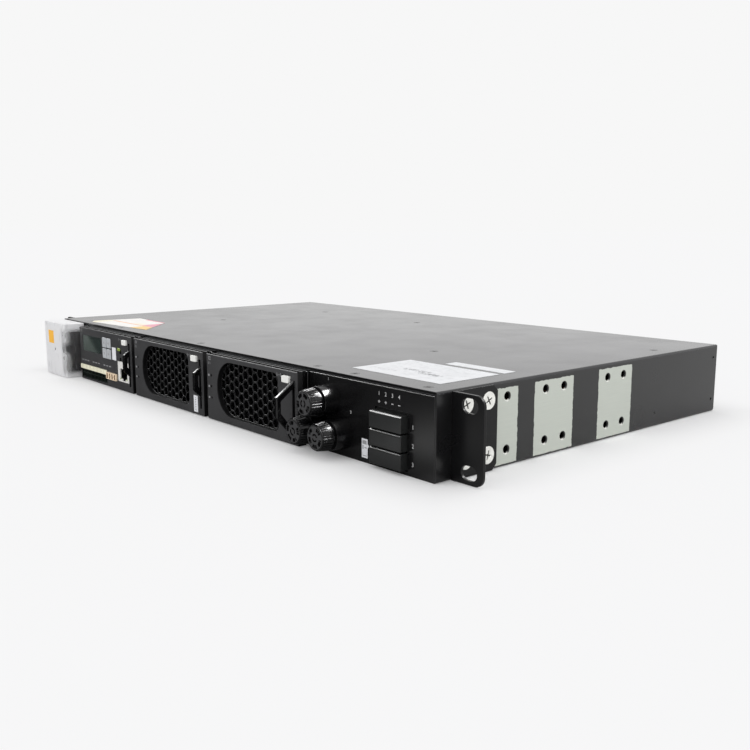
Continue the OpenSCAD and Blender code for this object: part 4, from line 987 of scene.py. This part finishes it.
def cap_ribs(node, made, tree):
    """Fine ribs along the grip."""
    lo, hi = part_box(node)
    centre = (lo + hi) / 2
    radius = (hi.x - lo.x) / 2
    part = pattern_part([slab(-0.56, 0.56, -0.3, 0.2, 0.0, 5.7, 0, 0.12)])
    part.data.transform(Matrix.Rotation(math.radians(90), 4, "Z"))
    values = {"Part": part, "Material": made["fuse_gloss"], "Count": RIB_COUNT, "Radius": radius - 0.3 * MM}
    ribs = grown(tree, values)
    done_with(part)
    start = min(v.co.y for v in ribs.vertices)
    for vertex in ribs.vertices:
        along = (vertex.co.y - start) / (GRIP * MM)
        shrink = 1 - CAP_TAPER * MM * (1 - along) / radius
        vertex.co.x = centre.x + vertex.co.x * shrink
        vertex.co.z = centre.z + vertex.co.z * shrink
        vertex.co.y += lo.y + 0.8 * MM - start
    smooth(ribs, 40)
    return ribs


def make_fuse_cap(number, made, tree):
    """Ribbed screw cap with a moulded face, whose sunk marks are painted dark as shade."""
    node = "fuse_cap_%d" % number
    shape, radius = cap_body(node, number)
    mesh = mesh_of([shape])
    outward(mesh)
    lo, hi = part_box(node)
    axis = (lo + hi) / 2
    for face in mesh.polygons:
        near = (face.center.xz - axis.xz).length < radius * 0.93 * MM
        depth = face.center.y - lo.y
        if near and depth < 1 * MM:
            # number 2 is the painted shade of the sunk marks, 1 the face
            face.material_index = 2 if depth > 0.2 * MM else 1
    smooth(mesh, 25)
    add_detail(node + "_ribs", cap_ribs(node, made, tree), made["fuse_gloss"], node, "fuse_plastic")
    finishes = [made["fuse_gloss"], made["fuse_face"], made["fuse_recess"]]
    settle(add_piece(node + "_body", mesh, finishes), node, "fuse_plastic", node)


# ---- marks, labels and details ----

PRINT = 0.03
LAMP_Z = (14.4, 21.35, 28.3)
SIGNS = ((180.9, "+"), (185.9, "+"), (190.7, "-"), (195.6, "-"))
PANEL_NUMBERS = (
    (2.1, 204.6, 23.4, "1"),
    (2.1, 204.6, 14.2, "2"),
    (2.1, 204.6, 5.1, "3"),
    (1.6, 139.6, 38.6, "1"),
    (1.6, 130.0, 21.6, "2"),
    (1.6, 158.2, 23.6, "3"),
)
TAG = [(167.6, 2.5), (172.2, 2.5), (172.2, 7.7), (173.2, 8.9), (172.2, 10.1), (172.2, 12.4), (167.6, 12.4)]
TAG_BARS = (
    (168.2, 171.4, 9.6, 11.6),
    (168.2, 169.0, 7.0, 9.0),
    (169.8, 171.6, 7.6, 8.1),
    (168.4, 171.2, 3.4, 3.8),
)
ARROWS = {
    "key_up": [(-1.4, -1.0), (1.4, -1.0), (0, 1.5)],
    "key_down": [(-1.4, 1.0), (0, -1.5), (1.4, 1.0)],
    "key_back": [(1.2, -1.4), (1.2, 1.4), (-1.5, 0)],
    "key_enter": [(-1.2, -1.4), (1.5, 0), (-1.2, 1.4)],
}
ARROW_SIZE = 0.8


def printed(x0, x1, z0, z1, y):
    """A printed bar just off a surface at y."""
    return slab(x0, x1, y - PRINT, y - PRINT + 0.05, z0, z1)


def lock_mark(x, top, y):
    """Two short posts with two dashes between them."""
    posts = [printed(x + k, x + k + 0.3, top - 4.4, top - 2.4, y) for k in (0, 3.4)]
    return posts + [printed(x + k, x + k + 0.6, top - 3.6, top - 3.3, y) for k in (1.0, 2.1)]


def face_marks(made):
    """Plain marks and numbers on the three fronts."""
    y = FACE_Y / MM
    for body, number in FRONTS.items():
        lo, hi = box_mm(body + "_front")
        parts = [numeral(number, 2.2, lo.x + 2.4, y - PRINT, hi.z - 3.6)]
        parts.append(numeral("0 1", 1.5, lo.x + 2.4, y - PRINT, hi.z - 6.3))
        if body == "controller":
            parts += lock_mark(hi.x - 20, hi.z, y)
            dashes = [lo.x + 3 + 5 * k for k in range(12) if k % 4 != 3]
            parts += [printed(x, x + 3.2, 15.6, 16.3, y) for x in dashes]
        else:
            parts += lock_mark(box_mm(body + "_latch")[0].x - 6, hi.z, y)
            parts += [printed(lo.x + 2, lo.x + 3.4, z - 0.6, z + 0.6, y) for z in LAMP_Z]
        add_detail(body + "_marks", mesh_of(parts), made["mark_grey"], body, "pale_plastic")


def panel_marks(made):
    """Polarity marks and plain numbers on the output panel."""
    y = PANEL_Y / MM
    parts = []
    for x, sign in SIGNS:
        parts.append(printed(x - 0.75, x + 0.75, 33.25, 33.6, y))
        if sign == "+":
            parts.append(printed(x - 0.18, x + 0.18, 32.7, 34.15, y))
    parts += [numeral(digit, 2.0, 180.2 + 4.9 * k, y - PRINT, 36.6) for k, digit in enumerate("1234")]
    parts += [numeral(digit, size, x, y - PRINT, z) for size, x, z, digit in PANEL_NUMBERS]
    add_detail("panel_marks", mesh_of(parts), made["mark_white"], "shelf", "label_paper")


def small_labels(made):
    """Barred stickers on the first rectifier and the output panel."""
    coats = [made["label_white"], made["mark_grey"]]
    y = FACE_Y / MM
    x1 = box_mm("rectifier_1_front")[1].x
    bars = [slab(x1 - 12.2, x1 - 7.2, y - 0.12, y + 0.1, 2.2, 12.8)]
    bars += [slab(x1 - 10.6, x1 - 9.2, y - 0.15, y, 3.2 + 1.1 * k, 3.7 + 1.1 * k, 1) for k in range(8)]
    settle(add_piece("rectifier_1_sticker", mesh_of(bars), coats), "rectifier_1", "label_paper")
    y = PANEL_Y / MM
    parts = [plate(TAG, y - 0.12, y + 0.1)]
    parts += [slab(a, b, y - 0.15, y, c, d, 1) for a, b, c, d in TAG_BARS]
    settle(add_piece("panel_tag", mesh_of(parts), coats), "shelf", "label_paper")


def controller_details(made, tree):
    """The controller's blank label, lamps and contact pins."""
    y = FACE_Y / MM
    x1 = box_mm("key_back")[1].x
    blank = mesh_of([slab(x1 + 1.2, x1 + 7.6, y - 0.15, y + 0.1, 21.8, 31.2)])
    add_detail("controller_blank_label", blank, made["label_white"], "controller", "label_paper")
    x0 = box_mm("network_jack")[0].x
    lamp = mesh_of([slab(x0 + 1.6, x0 + 6.1, y - 0.25, y + 0.1, 29.5, 31.6, 0, 0.15)])
    add_detail("controller_lamp", lamp, made["lamp_green"], "controller", "clear_plastic")
    lamps = [slab(x - 0.8, x + 0.8, y + 0.3, y + 0.7, 8.4, 9.4, 0, 0.15) for x in (x0 + 4.2, x0 + 14.4)]
    add_detail("jack_lamps", mesh_of(lamps), made["lamp_green"], "controller", "clear_plastic")
    pin = slab(-0.14, 0.14, 0, 5.5, -0.14, 0.14)
    corner = Vector((x0 + 5.75, y + 2.5, 15.9)) * MM
    pins = field_of(tree, pin, made["gold_pins"], (8, 1), (1.02 * MM, MM), corner)
    add_detail("jack_pins", pins, made["gold_pins"], "controller", "connector")


def terminal_details(made, tree):
    """Openings and joints of the controller's terminals; the signal openings are dark plates of painted
    shade.
    """
    lo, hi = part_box("relay_block")
    step = (hi.x - lo.x) / 4
    corner = (lo.x + step / 2, lo.y - PRINT * MM, lo.z + 1.3 * MM)
    hole = slab(-1.0, 1.0, 0, 0.3, -0.75, 0.75)
    dots = field_of(tree, hole, made["relay_brown"], (4, 2), (step, 2.4 * MM), corner)
    add_detail("relay_openings", dots, made["relay_brown"], "controller", "relay_plastic")
    lo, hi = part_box("signal_block")
    pitch = (hi.x - lo.x) / 18
    corner = (lo.x + pitch / 2, FACE_Y + 0.95 * MM, lo.z + 1.7 * MM)
    # painted shade: dark plates in the signal openings
    hole = slab(-0.75, 0.75, 0, 0.3, -1.2, 1.2)
    holes = field_of(tree, hole, made["hole_black"], (18, 2), (pitch, 3.1 * MM), corner)
    add_detail("signal_openings", holes, made["hole_black"], "controller", "signal_green")
    corner = (lo.x + pitch, lo.y - PRINT * MM, hi.z - 1.7 * MM)
    slit = slab(-0.11, 0.11, 0, 0.2, -1.5, 1.5)
    lines = field_of(tree, slit, made["relay_brown"], (17, 1), (pitch, MM), corner)
    add_detail("signal_joints", lines, made["relay_brown"], "controller", "signal_green")


def key_symbols(made):
    """Arrows on the four keys."""
    for node, outline in ARROWS.items():
        lo, hi = box_mm(node)
        middle = (lo + hi) / 2
        arrow = [(middle.x + x * ARROW_SIZE, middle.z + z * ARROW_SIZE) for x, z in outline]
        mesh = mesh_of([plate(arrow, lo.y - 0.02, lo.y + 0.02)])
        outward(mesh)
        add_detail(node + "_symbol", mesh, made["mark_grey"], node, "key_plastic")


def cover_sticker(made):
    """Small blank orange label on the clear cover."""
    lo = box_mm("ac_cover")[0]
    mesh = mesh_of([slab(lo.x + 8.6, lo.x + 19.0, lo.y - 0.12, lo.y - 0.01, 26.2, 36.4)])
    add_detail("cover_sticker", mesh, made["label_orange"], "ac_cover", "sticker_paper")


# ---- putting the finishes on ----

SOFT = [
    ("tray", "side_paint", "black_paint", 0.4),
    ("lid", "lid_paint", "black_paint", 0.3),
    ("rear_panel", "inner_paint", "black_paint", 0.2),
    ("ac_panel", "panel_paint", "black_paint", 0.2),
    ("dc_panel", "panel_paint", "black_paint", 0.4),
    ("bay_dividers", "panel_paint", "black_paint", 0.3),
    ("ear_left", "ear_paint", "black_paint", 0.35),
    ("ear_right", "ear_paint", "black_paint", 0.35),
    ("ac_cover", "frosted_clear", "clear_plastic", 0.35),
    ("display", "display_glass", "display_window", 0.2),
    ("network_jack", "jack_plastic", "socket_plastic", 0.2),
    ("relay_block", "relay_cream", "relay_plastic", 0.2),
    ("controller_front", "front_plastic", "front_plastic", 0.35),
    ("rectifier_1_front", "front_plastic", "front_plastic", 0.3),
    ("rectifier_2_front", "front_plastic", "front_plastic", 0.3),
    ("fuse_bases", "fuse_gloss", "fuse_plastic", 0.1),
    ("terminal_header", "plug_plastic", "connector", 0.25),
]

PLAIN = [
    ("lid_label", "printed_label"),
    ("lid_stickers", "banded_sticker"),
    ("backplane_board", "circuit_green"),
    ("backplane_sockets", "socket_plastic"),
    ("positive_bar", "copper"),
    ("negative_bar", "copper"),
    ("ac_terminal_block", "block_plastic"),
    ("signal_block", "signal_cream"),
    ("controller_board", "circuit_green"),
    ("controller_case", "case_steel"),
    ("controller_plug", "socket_plastic"),
]


def dress_all(made):
    for node, finish, slot, width in SOFT:
        soften(node, made[finish], slot, width, rim=node == "controller_front")
    for node, finish in PLAIN:
        dress(node, made[finish])
    for number in (1, 2, 3):
        soften("terminal_plug_%d" % number, made["plug_plastic"], "connector", 0.4)
    for body in FRONTS:
        soften(body + "_handle", made["handle_plastic"], "front_plastic", 0.5, 3)
        soften(body + "_latch", made["pale_plastic"], "pale_plastic", 0.3)
    for key in ARROWS:
        soften(key, made["key_plastic"], "key_plastic", 0.7, 3)
    for body in ("rectifier_1", "rectifier_2"):
        dress(body + "_case", made["case_steel"])
        dress(body + "_board", made["circuit_green"])
        dress(body + "_heatsink", made["fin_metal"])
        dress(body + "_plug", made["socket_plastic"])
        soften(body + "_fan_frame", made["fan_plastic"], "fan_plastic", 0.3)
        soften(body + "_fan_rotor", made["fan_plastic"], "fan_plastic", 0.25)


# ---- stage ----

PALE = (0.93, 0.93, 0.935)
LAMPS = (
    ("left", (-0.77, -0.1, 0.62), 2.2, 20),
    ("behind", (0.34, 0.43, 0.84), 11.0, 36),
)


def lift_floor(paint):
    """Blends the floor into the pale backdrop for the camera with a glow, painted light that thins the
    shelf's shadow, less of it close to the shelf.
    """
    glow = paint.add("ShaderNodeEmission", {"Color": (*PALE, 1)}).outputs[0]
    away = paint.off_box({"X": (-SIDE_X, SIDE_X), "Y": (low("tray").y, high("tray").y)})
    share = paint.between(away, 0, 40 * MM, 0.1, 0.82)
    seen = paint.add("ShaderNodeLightPath").outputs["Is Camera Ray"]
    both = {0: paint.maths("MULTIPLY", seen, share), 1: paint.shader.outputs[0], 2: glow}
    blend = paint.add("ShaderNodeMixShader", both).outputs[0]
    feed(paint.tree, paint.tree.nodes["Material Output"].inputs["Surface"], blend)


def make_floor():
    """Pale floor, dimmer towards the left where it is seen mirrored in the shelf; mirrored, it also carries
    a painted shadow under the shelf's front.
    """
    mesh = bpy.data.meshes.new("floor")
    mesh.from_pydata([(-30, -30, 0), (30, -30, 0), (30, 30, 0), (-30, 30, 0)], [], [(0, 1, 2, 3)])
    floor = place_object("floor", mesh)
    paint = Finish("floor_paint", PALE, 0.9, level=0.0)
    mirrored = paint.add("ShaderNodeLightPath").outputs["Is Glossy Ray"]
    tone = paint.maths("POWER", paint.past("X", 60 * MM, 150 * MM), 2.5)
    # painted shadow in the floor's mirror image, under the shelf's front
    under = paint.inside(paint.off_box({"X": (-230 * MM, 215 * MM), "Y": (-45 * MM, 0)}), 12 * MM)
    shade = paint.between(under, 0, 1, 1.0, 0.35)
    paint.layer(mirrored, paint.maths("MULTIPLY", shade, paint.between(tone, 0, 1, 0.06, 0.9)))
    lift_floor(paint)
    mesh.materials.append(paint.material)


SPARED = [body + "_case" for body in FRONTS]
SPARED += ["rectifier_1_heatsink", "rectifier_2_heatsink", "positive_bar", "negative_bar"]


def spare_wide_metal(lamp):
    """Leaves the lid and bare metal out of a lamp's sheen, so that they don't glare from above."""
    spared = bpy.data.collections.new(lamp.name + "_receivers")
    spared.objects.link(bpy.data.objects["lid_skin"])
    for node in SPARED:
        spared.objects.link(NODES[node])
    for entry in spared.collection_objects:
        entry.light_linking.link_state = "EXCLUDE"
    lamp.light_linking.receiver_collection = spared


def make_lamps():
    """Two wide soft lamps that only show as sheen, high on the left and high behind."""
    for name, way, energy, angle in LAMPS:
        data = bpy.data.lights.new("lamp_" + name, "SUN")
        data.energy = energy
        data.angle = math.radians(angle)
        lamp = place_object("lamp_" + name, data)
        lamp.rotation_mode = "QUATERNION"
        lamp.rotation_quaternion = Vector(way).to_track_quat("Z", "Y")
        lamp.visible_diffuse = False
        spare_wide_metal(lamp)


def make_surround():
    """Even white light whose mirror image is bright above and behind and dim in front."""
    world = bpy.data.worlds.new("surround")
    bpy.context.scene.world = world
    world.use_nodes = True
    tree = world.node_tree
    path = add_node(tree, "ShaderNodeLightPath").outputs
    way = add_node(tree, "ShaderNodeTexCoord").outputs["Generated"]
    above = add_node(tree, "ShaderNodeVectorMath", {0: way, 1: (0, 0.6, 1)}, operation="DOT_PRODUCT")
    ends = {"From Min": -0.25, "From Max": 0.45, "To Min": 0.12, "To Max": PALE[0]}
    mirror = add_node(tree, "ShaderNodeMapRange", {"Value": above.outputs["Value"], **ends}).outputs[0]
    tone = add_node(tree, "ShaderNodeMix", {0: path["Is Glossy Ray"], 2: 1.0, 3: mirror}).outputs[0]
    either = {0: path["Is Camera Ray"], 1: path["Is Transmission Ray"]}
    shown = add_node(tree, "ShaderNodeMath", either, operation="MAXIMUM").outputs[0]
    sky = add_node(tree, "ShaderNodeMix", {0: shown, 2: tone, 3: PALE[0]}).outputs[0]
    feed(tree, tree.nodes["Background"].inputs["Color"], sky)


# ---- making it all ----

make_camera()
make_floor()
make_surround()
bpy.context.scene.view_settings.view_transform = "Standard"
finishes = make_finishes()
ring = ring_tree()
field = field_tree()
placed = screw_tree()
dress_all(finishes)
make_ear_screws(finishes, placed)
make_cover_screws(finishes, placed)
for fuse in (1, 2, 3):
    make_fuse_cap(fuse, finishes, ring)
face_marks(finishes)
panel_marks(finishes)
small_labels(finishes)
controller_details(finishes, field)
terminal_details(finishes, field)
key_symbols(finishes)
cover_sticker(finishes)
make_lamps()
